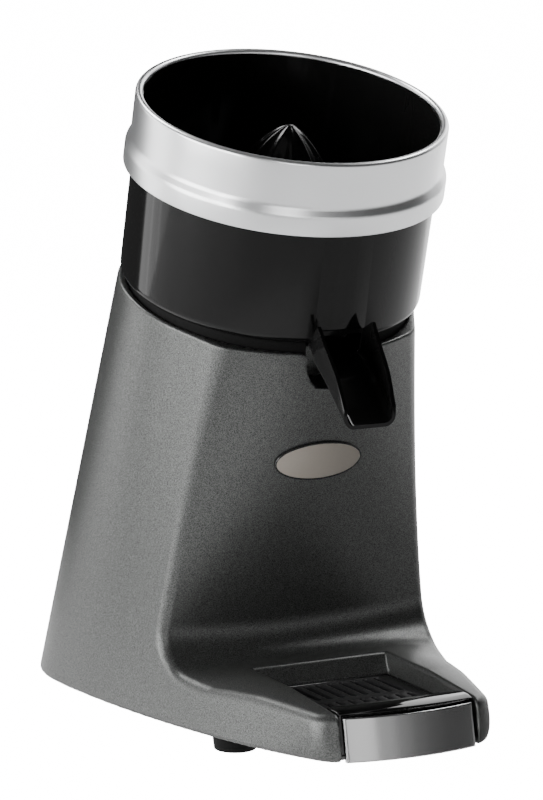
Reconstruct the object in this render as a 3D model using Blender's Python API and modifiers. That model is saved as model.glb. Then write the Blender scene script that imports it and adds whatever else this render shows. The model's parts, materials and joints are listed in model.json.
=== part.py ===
"""Citrus press juicer: a cast housing with a motor that leans forward, a lift-off bowl with its spout,
splash ring, strainer and reamer on the leaning spindle, and a drip tray that slides out at the front.

Metres, +Z up, +X to the right seen from the front, the front faces -Y.
The origin is at the middle of the footprint, on the table.
"""
from math import acos, atan2, cos, pi, radians, sin, sqrt, tan

import bmesh
import bpy
import numpy as np
from mathutils import Matrix, Vector

MM = 0.001
GAP = 0.3 * MM                       # running or seating gap between neighbouring pieces

# Spindle axis: it leans forward, and passes through (0, AXIS_Y, 0)
LEAN = radians(15.06)
AXIS_Y = 68.8 * MM

# Housing casting
WALL = 4.5 * MM
FOOT_Z = 9.0 * MM                    # underside of the casting above the table
REAR_Y = 72.0 * MM                   # where the footprint is widest; round behind, tapered in front
HALF_WIDTH = 96.0 * MM
REAR_DEPTH = 80.0 * MM
REAR_POWER = 2.3                     # 2 would be an ellipse, more is squarer
NOSE_LENGTH = 254.8 * MM             # how far forward the footprint's side curve would close
NOSE_POWER = 1.66
FRONT_Y = -152.5 * MM                # where the pair of cheeks ends
CHEEK_ROUND = 11.0 * MM
CHEEK_LEAN = 5.0 / 23.7              # the cheeks lean back at the front, as the tray's panel does
RIM_TOP = 232.4 * MM                 # round top of the casting, under the bowl: height along the spindle
RIM_RADIUS = 79.1 * MM
RIM_BACK = 2.7 * MM                  # its centre is this far behind the spindle
RIM_FLAT_FROM = radians(27.6)        # ahead of this angle its sides run straight towards the front
RIM_EASE = 0.8                       # and bend back outwards this much, 1/m
RIM_REACH = 150.0 * MM               # how fast the walls' rulings fan out towards the front
RIM_FAN = (1.0, 1.71, 0.12)
RIM_DIP = 1.8 * MM                   # the rim is this much lower at the front
DECK_TOP = 229.0 * MM
DECK_THICKNESS = 5.0 * MM
SEAT_RADIUS = 75.4 * MM              # recess for the gasket, open at the rim
FACE_V = -77.2 * MM                  # front face, ahead of the spindle axis at the top
FACE_SLOPE = 0.2794                  # how far the face goes back for each metre down
FACE_TOP = 250.0 * MM                # where it starts, up the spindle
FACE_CURVE = 5.5                     # how strongly the face bows across at the top, 1/m
BOW_TOP_Z = 208.0 * MM
BOW_FOOT_Z = 40.0 * MM
BASE_TOP = ((-50.0 * MM, 37.2 * MM), (-95.0 * MM, 36.9 * MM), (-142.0 * MM, 33.5 * MM))
BASE_CROWN = 5.5                     # how strongly the top of the foot falls away at its sides, 1/m
COVE_RADIUS = 21.0 * MM
REAR_SPANS = 10                      # facets of half the outline
SIDE_SPANS = 17
SECTION_HEIGHTS = tuple(z * MM for z in (9, 22, 38, 62, 100, 150, 200, 262))

# Recess for the drip tray
WELL_HALF = 39.5 * MM
WELL_FLOOR = 12.5 * MM
WELL_REAR_TOP = -50.0 * MM
WELL_REAR_FOOT = -54.0 * MM
WELL_FRONT = -145.5 * MM
WELL_WALL = 3.5 * MM
WELL_STEP = 27.0 * MM                # above this the rear wall of the recess slopes back

# Drip tray, its front panel and its grid
TRAY_HALF = 38.9 * MM
TRAY_SIDE_TOP = 26.6 * MM
TRAY_FRONT_TOP = 34.4 * MM
TRAY_SKIN = 2.0 * MM
LEDGE_REAR = -131.0 * MM
PANEL_HALF = 37.5 * MM
PANEL_FOOT = 9.0 * MM
PANEL_TOP = 32.7 * MM
PANEL_THICKNESS = 2.2 * MM
PANEL_Y = -155.5 * MM                # middle of the panel at its foot
PANEL_PLAN_RADIUS = 137.0 * MM
PANEL_LEAN = 5.0 / 23.7
GRID_TOP = 26.4 * MM
GRID_THICKNESS = 2.4 * MM

# Bowl and spout, in heights along the spindle axis
BOWL_RADIUS = 79.7 * MM
BOWL_RIM_RADIUS = 80.3 * MM
BOWL_BOTTOM = 237.2 * MM
BOWL_TOP = 336.6 * MM
BOWL_WALL = 2.5 * MM
BOWL_CORNER = 5.5 * MM
LEDGE_H = 266.0 * MM                 # ledge inside the bowl that carries the strainer
CHIMNEY_RADIUS = 12.0 * MM
CHIMNEY_BORE = 8.5 * MM
CHIMNEY_TOP = 262.0 * MM
SPOUT_WALL = 1.9 * MM
SPOUT_CORNER = 6.0 * MM
# Spout sections, root to tip: ahead of the axis and height of the wall's top edge,
# the same of the underside, and half the width
SPOUT_SECTIONS = (
    (-66.0, 240.0, -66.0, 233.0, 13.8),
    (-78.0, 243.6, -78.0, 230.0, 14.4),
    (-85.3, 251.2, -86.0, 227.6, 16.8),
    (-95.2, 243.2, -97.5, 223.2, 16.4),
    (-107.7, 234.1, -110.5, 216.6, 15.8),
    (-114.6, 226.6, -117.3, 212.8, 15.4),
    (-120.4, 219.6, -122.9, 209.7, 15.0),
)
SPOUT_MOUTH_TOP = 243.2 * MM         # top of the opening in the bowl's wall
TROUGH_REAR = -67.9 * MM             # the gutter under that opening starts and ends here
TROUGH_FRONT = -80.8 * MM
CHANNEL_REAR = -80.2 * MM            # the spout is open above from here on

# Notch in the casting, which the root of the spout drops into
NOTCH_HALF = 15.6 * MM
NOTCH_BOTTOM = 211.0 * MM
NOTCH_REAR = -60.0 * MM
NOTCH_WALL = 3.0 * MM

# Splash ring: outer profile as radius and height along the axis
RING_RADIUS = 82.3 * MM
RING_SKIRT_RADIUS = 84.7 * MM
RING_TOP = 339.0 * MM
RING_LIP_RADIUS = 78.2 * MM
RING_STEP_TOP = 315.5 * MM
RING_STEP_FOOT = 308.0 * MM
RING_FOOT = 299.8 * MM
RING_SHEET = 1.2 * MM

# Strainer, drive hub and reamer
STRAINER_RADIUS = 77.0 * MM
STRAINER_SHEET = 1.5 * MM
STRAINER_FLOOR = 252.0 * MM
STRAINER_FLOOR_RADIUS = 62.0 * MM
STRAINER_COLLAR = 20.0 * MM
HUB_RADIUS = 9.0 * MM
HUB_SKIRT_RADIUS = 15.0 * MM
HUB_TOP = 290.0 * MM
REAMER_FOOT = 264.5 * MM
REAMER_TOP = 328.0 * MM
REAMER_RADIUS = 34.0 * MM
REAMER_RIBS = 10
REAMER_EDGE = 3.0 * MM               # upright edge below the dome

# Motor, in heights along the spindle axis
SHAFT_RADIUS = 6.0 * MM
SHAFT_TOP = 284.0 * MM
SHAFT_FLAT = 4.4 * MM                # the drive flat's distance from the axis
SHAFT_BOTTOM = 96.0 * MM
MOTOR_RADIUS = 48.0 * MM
MOTOR_TOP = 223.7 * MM
MOTOR_BOTTOM = 118.0 * MM
SHIELD_THICKNESS = 9.0 * MM
BEARING_RADIUS = 13.0 * MM
BEARING_HEIGHT = 8.0 * MM
ROTOR_RADIUS = 27.0 * MM
STATOR_BORE = 27.6 * MM
STATOR_TOP = 196.0 * MM
STATOR_BOTTOM = 146.0 * MM
FAN_RADIUS = 38.0 * MM
FAN_BLADES = 9
MOTOR_SCREW_CIRCLE = 34.0 * MM

# Underside
PLATE_BOTTOM = 9.6 * MM
PLATE_THICKNESS = 2.0 * MM
FEET = {
    "front_left": (-58.0 * MM, -66.0 * MM),
    "front_right": (58.0 * MM, -66.0 * MM),
    "rear_left": (-64.0 * MM, 112.0 * MM),
    "rear_right": (64.0 * MM, 112.0 * MM),
}
FOOT_RADIUS = 11.0 * MM
BOSS_RADIUS = 6.0 * MM
SCREW_RADIUS = 2.0 * MM
HEAD_RADIUS = 4.0 * MM

# Rocker switch and cord gland on the rear wall
SWITCH_Z = 84.0 * MM
SWITCH_FLANGE = (24.0 * MM, 32.0 * MM, 1.8 * MM)
ROCKER_SIZE = (12.6 * MM, 21.0 * MM)
ROCKER_ANGLE = radians(10.0)
GLAND_Z = 34.0 * MM
GLAND_TIP_RADIUS = 6.5 * MM

# Blank oval badge on the front face
BADGE_HALF = (25.5 * MM, 10.4 * MM)
BADGE_Z = 144.2 * MM
BADGE_THICKNESS = 1.2 * MM

COLOURS = {                          # colour, roughness, metallic
    "housing_paint": ((0.105, 0.108, 0.105), 0.42, 0.55),
    "black_gloss": ((0.010, 0.010, 0.011), 0.12, 0.0),
    "black_plastic": ((0.018, 0.018, 0.019), 0.45, 0.0),
    "satin_aluminium": ((0.72, 0.73, 0.74), 0.28, 1.0),
    "stainless": ((0.62, 0.63, 0.64), 0.25, 1.0),
    "steel": ((0.45, 0.46, 0.47), 0.35, 1.0),
    "lamination": ((0.20, 0.20, 0.21), 0.5, 0.9),
    "copper": ((0.72, 0.33, 0.16), 0.35, 1.0),
    "cast_aluminium": ((0.55, 0.56, 0.57), 0.5, 1.0),
    "rubber": ((0.022, 0.022, 0.023), 0.75, 0.0),
    "badge": ((0.78, 0.74, 0.64), 0.3, 0.0),
    "capacitor": ((0.60, 0.60, 0.58), 0.4, 0.0),
    "terminal": ((0.80, 0.78, 0.70), 0.5, 0.0),
}


# ---------------------------------------------------------------- scene helpers

def clear_scene():
    for obj in list(bpy.data.objects):
        bpy.data.objects.remove(obj, do_unlink=True)


def new_collection(name):
    collection = bpy.data.collections.new(name)
    bpy.context.scene.collection.children.link(collection)
    return collection


def material(name):
    if name in bpy.data.materials:
        return bpy.data.materials[name]
    colour, roughness, metallic = COLOURS[name]
    made = bpy.data.materials.new(name)
    made.use_nodes = True
    shader = made.node_tree.nodes["Principled BSDF"]
    shader.inputs["Base Color"].default_value = (*colour, 1.0)
    shader.inputs["Roughness"].default_value = roughness
    shader.inputs["Metallic"].default_value = metallic
    return made


def add_object(name, mesh, finish=None, parent=None, location=(0, 0, 0)):
    """Link a mesh as a part, or as a hidden cutter where no finish is given."""
    obj = bpy.data.objects.new(name, mesh)
    obj.location = location
    obj.parent = parent
    if finish is None:
        CUTTERS.objects.link(obj)
        obj.hide_render = True
        obj.display_type = "WIRE"
    else:
        PARTS.objects.link(obj)
        mesh.materials.append(material(finish))
    return obj


def mesh_from(bm, name, smooth_angle=35.0):
    bmesh.ops.recalc_face_normals(bm, faces=bm.faces)
    mesh = bpy.data.meshes.new(name)
    bm.to_mesh(mesh)
    bm.free()
    mesh.shade_smooth()
    mesh.set_sharp_from_angle(angle=radians(smooth_angle))
    return mesh


def boolean(target, cutter, operation="DIFFERENCE"):
    step = target.modifiers.new(f"{operation.lower()}_{cutter.name}", "BOOLEAN")
    step.operation = operation
    step.solver = "EXACT"
    step.object = cutter


def turned(name, profile, finish=None, closed=True, steps=32, parent=None, location=(0, 0, 0)):
    """Solid of revolution about Z from (radius, height) points that run down the outer side."""
    mesh = bpy.data.meshes.new(name)
    edges = [(i, i + 1) for i in range(len(profile) - 1)]
    if closed:
        edges.append((len(profile) - 1, 0))
    mesh.from_pydata([(radius, 0.0, height) for radius, height in profile], edges, [])
    obj = add_object(name, mesh, finish, parent, location)
    screw = obj.modifiers.new("turned", "SCREW")
    screw.steps = steps
    screw.render_steps = steps
    screw.use_merge_vertices = True
    screw.merge_threshold = 0.00002
    return obj


def disc_profile(radius, low, high):
    return [(0.0, high), (radius, high), (radius, low), (0.0, low)]


def tube_profile(outer, inner, low, high):
    return [(inner, high), (outer, high), (outer, low), (inner, low)]


def cylinder(name, radius, low, high, finish=None, steps=24, parent=None, location=(0, 0, 0)):
    return turned(name, disc_profile(radius, low, high), finish, False, steps, parent, location)


def tube(name, outer, inner, low, high, finish=None, steps=32, parent=None, location=(0, 0, 0)):
    return turned(name, tube_profile(outer, inner, low, high), finish, True, steps, parent, location)


def box(name, low, high, finish=None, parent=None, location=(0, 0, 0)):
    bm = bmesh.new()
    bmesh.ops.create_cube(bm, size=1.0)
    size = Vector(high) - Vector(low)
    centre = (Vector(high) + Vector(low)) / 2.0
    bmesh.ops.transform(bm, matrix=Matrix.Translation(centre) @ Matrix.Diagonal((*size, 1.0)), verts=bm.verts)
    return add_object(name, mesh_from(bm, name), finish, parent, location)


def prism(name, outline, low, high, finish=None, axis="Z", parent=None, location=(0, 0, 0)):
    """Outline in the plane across an axis, carried along that axis from low to high."""
    place = {
        "X": lambda a, b, c: (c, a, b),
        "Y": lambda a, b, c: (a, c, b),
        "Z": lambda a, b, c: (a, b, c),
    }[axis]
    bm = bmesh.new()
    face = bm.faces.new([bm.verts.new(place(a, b, low)) for a, b in outline])
    swept = bmesh.ops.extrude_face_region(bm, geom=[face])
    moved = [item for item in swept["geom"] if isinstance(item, bmesh.types.BMVert)]
    bmesh.ops.translate(bm, verts=moved, vec=place(0.0, 0.0, high - low))
    return add_object(name, mesh_from(bm, name), finish, parent, location)


def loft(name, loops, finish=None, parent=None):
    """Closed skin through loops with equal numbers of points, capped at both ends."""
    bm = bmesh.new()
    rings = [[bm.verts.new(point) for point in loop] for loop in loops]
    count = len(rings[0])
    for ring, following in zip(rings, rings[1:]):
        for i in range(count):
            j = (i + 1) % count
            bm.faces.new((ring[i], ring[j], following[j], following[i]))
    bm.faces.new(rings[0])
    bm.faces.new(rings[-1])
    return add_object(name, mesh_from(bm, name), finish, parent)


def arc(centre, radius, start, end, count):
    """Points on an arc in a plane, both ends included; angles in degrees."""
    steps = [radians(start + (end - start) * i / (count - 1)) for i in range(count)]
    return [(centre[0] + radius * cos(a), centre[1] + radius * sin(a)) for a in steps]


def fillet(corner, before, after, radius, count):
    """Arc that rounds the corner between two straight runs in a plane."""
    corner = Vector(corner)
    first = (Vector(before) - corner).normalized()
    second = (Vector(after) - corner).normalized()
    half = acos(max(-1.0, min(1.0, first.dot(second)))) / 2.0
    reach = radius / tan(half)
    centre = corner + (first + second).normalized() * (radius / sin(half))
    start = corner + first * reach - centre
    end = corner + second * reach - centre
    turn = atan2(start.x * end.y - start.y * end.x, start.dot(end))
    points = []
    for i in range(count):
        angle = turn * i / (count - 1)
        points.append((centre.x + start.x * cos(angle) - start.y * sin(angle),
                       centre.y + start.x * sin(angle) + start.y * cos(angle)))
    return points


def spindle_empty(name="spindle_axis"):
    """Empty on the leaning axis: its Z runs up the spindle, its Y to the rear."""
    empty = bpy.data.objects.new(name, None)
    PARTS.objects.link(empty)
    empty.location = (0.0, AXIS_Y, 0.0)
    empty.rotation_euler = (LEAN, 0.0, 0.0)
    return empty


def from_spindle(x, v, h):
    """World point from the spindle's own frame: v to the rear, h up the axis."""
    return Vector((x, AXIS_Y - h * sin(LEAN) + v * cos(LEAN), h * cos(LEAN) + v * sin(LEAN)))


def side_half_width(y, inset):
    reach = (max(0.0, REAR_Y - y) / (NOSE_LENGTH - inset)) ** NOSE_POWER
    return (HALF_WIDTH - inset) * sqrt(1.0 - reach)


def rim_half_width(forward, inset):
    """Half-width of the rim's outline at a distance ahead of its centre."""
    radius = RIM_RADIUS - inset
    flat_from = radius * sin(RIM_FLAT_FROM)
    if forward < flat_from:
        return sqrt(radius * radius - forward * forward)
    past = forward - flat_from
    return radius * cos(RIM_FLAT_FROM) - past * tan(RIM_FLAT_FROM) + RIM_EASE * past * past


def rulings(inset):
    """Foot and rim ends of the wall's straight rulings, rear centre to front, on the right."""
    pairs = []
    for i in range(REAR_SPANS):
        angle = radians(90.0 * (1.0 - i / REAR_SPANS))
        foot = Vector(((HALF_WIDTH - inset) * cos(angle) ** (2.0 / REAR_POWER),
                       REAR_Y + (REAR_DEPTH - inset) * sin(angle) ** (2.0 / REAR_POWER), FOOT_Z))
        radius = RIM_RADIUS - inset
        pairs.append((foot, from_spindle(radius * cos(angle), RIM_BACK + radius * sin(angle), RIM_TOP)))
    span = REAR_Y - (FRONT_Y + CHEEK_ROUND)
    for i in range(SIDE_SPANS + 1):
        share = i / SIDE_SPANS
        y = REAR_Y - span * share
        forward = RIM_REACH * sum(factor * share ** (power + 1) for power, factor in enumerate(RIM_FAN))
        pairs.append((Vector((side_half_width(y, inset), y, FOOT_Z)),
                      from_spindle(rim_half_width(forward, inset), RIM_BACK - forward, RIM_TOP)))
    return pairs


def section(z, inset):
    """Right half of the wall's outline at a height, rear centre to front centre."""
    crossings = [foot.lerp(rim, (z - foot.z) / (rim.z - foot.z)) for foot, rim in rulings(inset)]
    crossings[0].x = 0.0
    points = crossings[:REAR_SPANS]
    side = crossings[:REAR_SPANS - 1:-1]
    lean = (z - FOOT_Z) * CHEEK_LEAN
    cheek_y = FRONT_Y + inset + CHEEK_ROUND + lean
    start = side[-1].y
    for i in range(SIDE_SPANS + 1):
        y = start + (cheek_y - start) * i / SIDE_SPANS
        x = float(np.interp(y, [p.y for p in side], [p.x for p in side]))
        least = (3.0 + 0.3 * (SIDE_SPANS - i)) * MM
        points.append(Vector((max(x, least), y, z)))
    cheek = points[-1]
    reach = min(CHEEK_ROUND, cheek.x * 0.8)
    for share in (0.3, 0.6, 1.0):
        turn = share * pi / 2.0
        x = cheek.x - reach * (1.0 - cos(turn))
        points.append(Vector((x, cheek.y - CHEEK_ROUND * sin(turn), z)))
    points.append(Vector((0.0, cheek.y - CHEEK_ROUND, z)))
    return points


def mirrored(half):
    """Whole loop from its right half, which starts and ends on the plane X = 0."""
    left = [Vector((-p.x, p.y, p.z)) for p in reversed(half[1:-1])]
    return list(half) + left


def casting_loops(inset, heights):
    return [mirrored(section(z, inset)) for z in heights]


def face_profile():
    """Front face, cove and top of the foot in the plane X = 0, as (y, z) from the top down."""
    start = from_spindle(0.0, FACE_V, FACE_TOP).yz
    rear, middle, front = [Vector(point) for point in BASE_TOP]
    slope = Vector((FACE_SLOPE, -1.0))
    run = (middle - rear).normalized()
    along = ((rear - start).x * run.y - (rear - start).y * run.x) / (slope.x * run.y - slope.y * run.x)
    cove = fillet(start + slope * along, start, middle, COVE_RADIUS, 6)
    first = Vector(cove[0])
    face = [tuple(start.lerp(first, i / 4)) for i in range(4)]
    far = middle + (front - middle) * 1.8
    return face + cove + [tuple(middle), tuple(far)]


def bow(x, z):
    """How far the front face stands back at a distance x from the middle."""
    share = max(0.0, (z - BOW_FOOT_Z) / (BOW_TOP_Z - BOW_FOOT_Z))
    return FACE_CURVE * share * x * x


def crown(x, y):
    """How far the top of the foot falls away beside the tray's recess."""
    ahead = min(1.0, max(0.0, (BASE_TOP[0][0] + 20.0 * MM - y) / (30.0 * MM)))
    return BASE_CROWN * ahead * max(0.0, abs(x) - WELL_HALF) ** 2


def front_cutter(name, back, drop):
    """Solid in front of the face and above the foot; back and drop move it into the casting."""
    profile = face_profile()
    far_y = -230.0 * MM
    high_z = 290.0 * MM
    loops = []
    for i in range(17):
        x = (-120.0 + 15.0 * i) * MM
        loop = [Vector((x, y + back + bow(x, z), z - drop - crown(x, y))) for y, z in profile]
        top = loop[0]
        loop.insert(0, Vector((x, top.y - FACE_SLOPE * (high_z - top.z), high_z)))
        loop.append(Vector((x, far_y, loop[-1].z)))
        loop.append(Vector((x, far_y, high_z)))
        loops.append(loop)
    return loft(name, loops)


def notch_outline(grow):
    """U outline of the spout's notch, as x and height along the spindle."""
    half = NOTCH_HALF + grow
    bottom = NOTCH_BOTTOM - grow
    top = 262.0 * MM
    return [(-half, top)] + arc((0.0, bottom + half), half, 180.0, 360.0, 11) + [(half, top)]


def well_outline():
    """Side view of the tray's recess, as (y, z)."""
    base = BASE_TOP[0][1]
    lean = (WELL_REAR_TOP - WELL_REAR_FOOT) / (base - WELL_STEP)
    high = 60.0 * MM
    return [
        (WELL_FRONT, WELL_FLOOR), (WELL_REAR_FOOT, WELL_FLOOR), (WELL_REAR_FOOT, WELL_STEP),
        (WELL_REAR_TOP + lean * (high - base), high), (WELL_FRONT, high),
    ]


def rear_wall(z):
    """Y of the rear wall at a height, and its lean from the vertical."""
    foot, top = rulings(0.0)[0]
    lean = atan2(foot.y - top.y, top.z - foot.z)
    return foot.lerp(top, (z - foot.z) / (top.z - foot.z)).y, lean


def rear_frame(name, z):
    """Empty on the rear wall: its Z points out of the wall, its Y down it."""
    empty = bpy.data.objects.new(name, None)
    PARTS.objects.link(empty)
    y, lean = rear_wall(z)
    empty.location = (0.0, y, z)
    empty.rotation_euler = (-pi / 2.0 + lean, 0.0, 0.0)
    return empty


def build_housing(spindle, switch, gland):
    housing = loft("housing", casting_loops(0.0, SECTION_HEIGHTS), "housing_paint")
    hollow = loft("cut_hollow", casting_loops(WALL, (4.0 * MM, *SECTION_HEIGHTS[1:])))
    ceiling = DECK_TOP - DECK_THICKNESS
    boolean(hollow, prism("cut_hollow_top", [(-200.0 * MM, ceiling), (110.0 * MM, ceiling),
                                             (110.0 * MM, 330.0 * MM), (-200.0 * MM, 330.0 * MM)],
                          -120.0 * MM, 120.0 * MM, axis="X", parent=spindle))
    boolean(hollow, front_cutter("cut_hollow_front", WALL * 1.05, WALL))
    well_guard = box("cut_well_guard", (-WELL_HALF - WELL_WALL, -200.0 * MM, 0.0),
                     (WELL_HALF + WELL_WALL, WELL_REAR_TOP + WELL_WALL, 60.0 * MM))
    boolean(hollow, well_guard)
    notch_guard = prism("cut_notch_guard", notch_outline(NOTCH_WALL), -100.0 * MM,
                        NOTCH_REAR + NOTCH_WALL, axis="Y", parent=spindle)
    boolean(hollow, notch_guard)
    boolean(housing, front_cutter("cut_front", 0.0, 0.0))

    pad = box("add_switch_pad", (-15.0 * MM, -19.0 * MM, -5.0 * MM), (15.0 * MM, 19.0 * MM, 0.8 * MM),
              parent=switch)
    boolean(housing, pad, "UNION")
    boolean(housing, hollow)
    for corner, (x, y) in FEET.items():
        top = 35.0 * MM if y < 0 else 78.0 * MM
        boss = cylinder(f"add_boss_{corner}", BOSS_RADIUS, PLATE_BOTTOM + PLATE_THICKNESS + GAP, top,
                        steps=20, location=(x, y, 0.0))
        boolean(housing, boss, "UNION")
        boolean(housing, cylinder(f"cut_boss_{corner}", SCREW_RADIUS + GAP, 2.0 * MM, 25.0 * MM,
                                  steps=12, location=(x, y, 0.0)))

    slope = [(110.0 * MM, RIM_TOP), (4.0 * MM, RIM_TOP), (-84.0 * MM, RIM_TOP - RIM_DIP),
             (-200.0 * MM, RIM_TOP - RIM_DIP * 2.3), (-200.0 * MM, 330.0 * MM), (110.0 * MM, 330.0 * MM)]
    boolean(housing, prism("cut_rim", slope, -120.0 * MM, 120.0 * MM, axis="X", parent=spindle))
    high, low, hole = 270.0 * MM, 200.0 * MM, 19.0 * MM
    seat = [(0.0, high), (SEAT_RADIUS, high), (SEAT_RADIUS, DECK_TOP), (hole, DECK_TOP), (hole, low), (0.0, low)]
    boolean(housing, turned("cut_seat", seat, None, False, 48, spindle))
    boolean(housing, prism("cut_notch", notch_outline(0.0), -100.0 * MM, NOTCH_REAR, axis="Y",
                           parent=spindle))
    for index, (x, v) in enumerate(motor_screw_places()):
        boolean(housing, cylinder(f"cut_motor_screw_{index + 1}", SCREW_RADIUS + GAP, 215.0 * MM,
                                  240.0 * MM, steps=12, parent=spindle, location=(x, v, 0.0)))

    boolean(housing, prism("cut_well", well_outline(), -WELL_HALF, WELL_HALF, axis="X"))
    boolean(housing, box("cut_well_mouth", (-WELL_HALF, -190.0 * MM, 0.0),
                         (WELL_HALF, WELL_FRONT + GAP, 60.0 * MM)))
    boolean(housing, box("cut_switch_hole", (-9.6 * MM, -13.6 * MM, -20.0 * MM),
                         (9.6 * MM, 13.6 * MM, 10.0 * MM), parent=switch))
    boolean(housing, cylinder("cut_gland_hole", 8.4 * MM, -15.0 * MM, 15.0 * MM, steps=24, parent=gland))
    return housing


def build_badge():
    """Blank oval plate that follows the bow of the front face."""
    def on_face(x, z, out):
        profile = face_profile()
        top, foot = profile[0], profile[3]
        share = (top[1] - z) / (top[1] - foot[1])
        y = top[0] + (foot[0] - top[0]) * share + bow(x, z)
        return (x, y - out, z - out * FACE_SLOPE)

    bm = bmesh.new()
    count = 36
    layers = []
    for out, reach in ((GAP, 1.0), (GAP + BADGE_THICKNESS * 0.7, 1.0), (GAP + BADGE_THICKNESS, 0.97)):
        ring = []
        for i in range(count):
            angle = 2.0 * pi * i / count
            ring.append(bm.verts.new(on_face(BADGE_HALF[0] * reach * cos(angle),
                                             BADGE_Z + BADGE_HALF[1] * reach * sin(angle), out)))
        layers.append(ring)
    for ring, following in zip(layers, layers[1:]):
        for i in range(count):
            j = (i + 1) % count
            bm.faces.new((ring[i], ring[j], following[j], following[i]))
    for ring, out in ((layers[0], GAP), (layers[-1], GAP + BADGE_THICKNESS)):
        # strips across the oval between points at the same distance from the middle
        for i in range(count // 2):
            j = i + 1
            quad = [ring[i], ring[j], ring[(count - j) % count], ring[(count - i) % count]]
            bm.faces.new(list(dict.fromkeys(quad)))
    return add_object("badge", mesh_from(bm, "badge"), "badge")


# ---------------------------------------------------------------- underside

def plate_outline():
    return [(p.x, p.y) for p in mirrored(section(FOOT_Z, WALL + 3.0 * MM))]


def build_underside():
    plate = prism("bottom_plate", plate_outline(), PLATE_BOTTOM, PLATE_BOTTOM + PLATE_THICKNESS, "steel")
    edge = WELL_HALF + WELL_WALL + 0.5 * MM
    boolean(plate, box("cut_plate_front", (-edge, -200.0 * MM, 0.0),
                       (edge, WELL_REAR_TOP + WELL_WALL + 0.5 * MM, 30.0 * MM)))
    for corner, (x, y) in FEET.items():
        boolean(plate, cylinder(f"cut_plate_{corner}", SCREW_RADIUS + GAP, 0.0, 20.0 * MM, steps=12,
                                location=(x, y, 0.0)))
        top = PLATE_BOTTOM - GAP
        foot = [(SCREW_RADIUS + GAP, top), (FOOT_RADIUS + 1.0 * MM, top),
                (FOOT_RADIUS + 1.0 * MM, top - 2.0 * MM),
                (FOOT_RADIUS, 0.8 * MM), (FOOT_RADIUS - 0.8 * MM, 0.0), (HEAD_RADIUS + 0.5 * MM, 0.0),
                (HEAD_RADIUS + 0.5 * MM, 5.0 * MM), (SCREW_RADIUS + GAP, 5.0 * MM)]
        turned(f"foot_{corner}", foot, "rubber", steps=20, location=(x, y, 0.0))
        screw = [(0.0, 22.0 * MM), (SCREW_RADIUS, 22.0 * MM), (SCREW_RADIUS, 4.7 * MM),
                 (HEAD_RADIUS, 4.7 * MM),
                 (HEAD_RADIUS, 3.4 * MM), (HEAD_RADIUS * 0.6, 2.6 * MM), (0.0, 2.4 * MM)]
        turned(f"foot_screw_{corner}", screw, "steel", False, 12, location=(x, y, 0.0))


# ---------------------------------------------------------------- motor

def motor_screw_places():
    return [(MOTOR_SCREW_CIRCLE * cos(radians(a)), MOTOR_SCREW_CIRCLE * sin(radians(a)))
            for a in (45.0, 135.0, 225.0, 315.0)]


def build_motor(spindle):
    deck_under = DECK_TOP - DECK_THICKNESS
    upper_low = MOTOR_TOP - SHIELD_THICKNESS
    lower_top = MOTOR_BOTTOM + SHIELD_THICKNESS
    bore = BEARING_RADIUS + GAP
    upper = tube("motor_end_shield_upper", MOTOR_RADIUS, bore, upper_low, MOTOR_TOP, "cast_aluminium",
                 parent=spindle)
    for index, (x, v) in enumerate(motor_screw_places()):
        boolean(upper, cylinder(f"cut_shield_{index + 1}", SCREW_RADIUS + GAP, 200.0 * MM, 230.0 * MM,
                                steps=12, parent=spindle, location=(x, v, 0.0)))
        low = upper_low + 1.0 * MM
        high = DECK_TOP + GAP
        screw = [(0.0, high + 2.6 * MM), (HEAD_RADIUS * 0.7, high + 2.6 * MM), (HEAD_RADIUS, high + 1.6 * MM),
                 (HEAD_RADIUS, high), (SCREW_RADIUS, high), (SCREW_RADIUS, low), (0.0, low)]
        turned(f"motor_screw_{index + 1}", screw, "steel", False, 12, spindle, (x, v, 0.0))
    tube("motor_end_shield_lower", MOTOR_RADIUS, bore, MOTOR_BOTTOM, lower_top, "cast_aluminium",
         parent=spindle)
    tube("motor_frame", MOTOR_RADIUS, MOTOR_RADIUS - 2.0 * MM, lower_top + GAP, upper_low - GAP, "steel",
         parent=spindle)
    core_radius = MOTOR_RADIUS - 2.0 * MM - GAP
    tube("stator_core", core_radius, STATOR_BORE, STATOR_BOTTOM, STATOR_TOP, "lamination", parent=spindle)
    for name, low, high in (("upper", STATOR_TOP + GAP, STATOR_TOP + 13.0 * MM),
                            ("lower", STATOR_BOTTOM - 13.0 * MM, STATOR_BOTTOM - GAP)):
        outer, inner, soft = core_radius - 4.0 * MM, STATOR_BORE + 2.0 * MM, 3.0 * MM
        ring = [(inner + soft, high), (outer - soft, high), (outer, high - soft), (outer, low + soft),
                (outer - soft, low), (inner + soft, low), (inner, low + soft), (inner, high - soft)]
        turned(f"stator_winding_{name}", ring, "copper", steps=24, parent=spindle)
    for name, low in (("upper", MOTOR_TOP - BEARING_HEIGHT), ("lower", MOTOR_BOTTOM)):
        tube(f"bearing_{name}", BEARING_RADIUS, SHAFT_RADIUS + GAP, low, low + BEARING_HEIGHT, "steel",
             steps=24, parent=spindle)
    seal = [(SHAFT_RADIUS + GAP, DECK_TOP + 1.5 * MM), (14.0 * MM, DECK_TOP + 1.5 * MM),
            (21.5 * MM, DECK_TOP + GAP + 0.6 * MM), (21.5 * MM, DECK_TOP + GAP), (18.6 * MM, DECK_TOP + GAP),
            (18.6 * MM, deck_under + GAP), (SHAFT_RADIUS + GAP, deck_under + GAP)]
    turned("shaft_seal", seal, "rubber", steps=24, parent=spindle)


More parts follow.
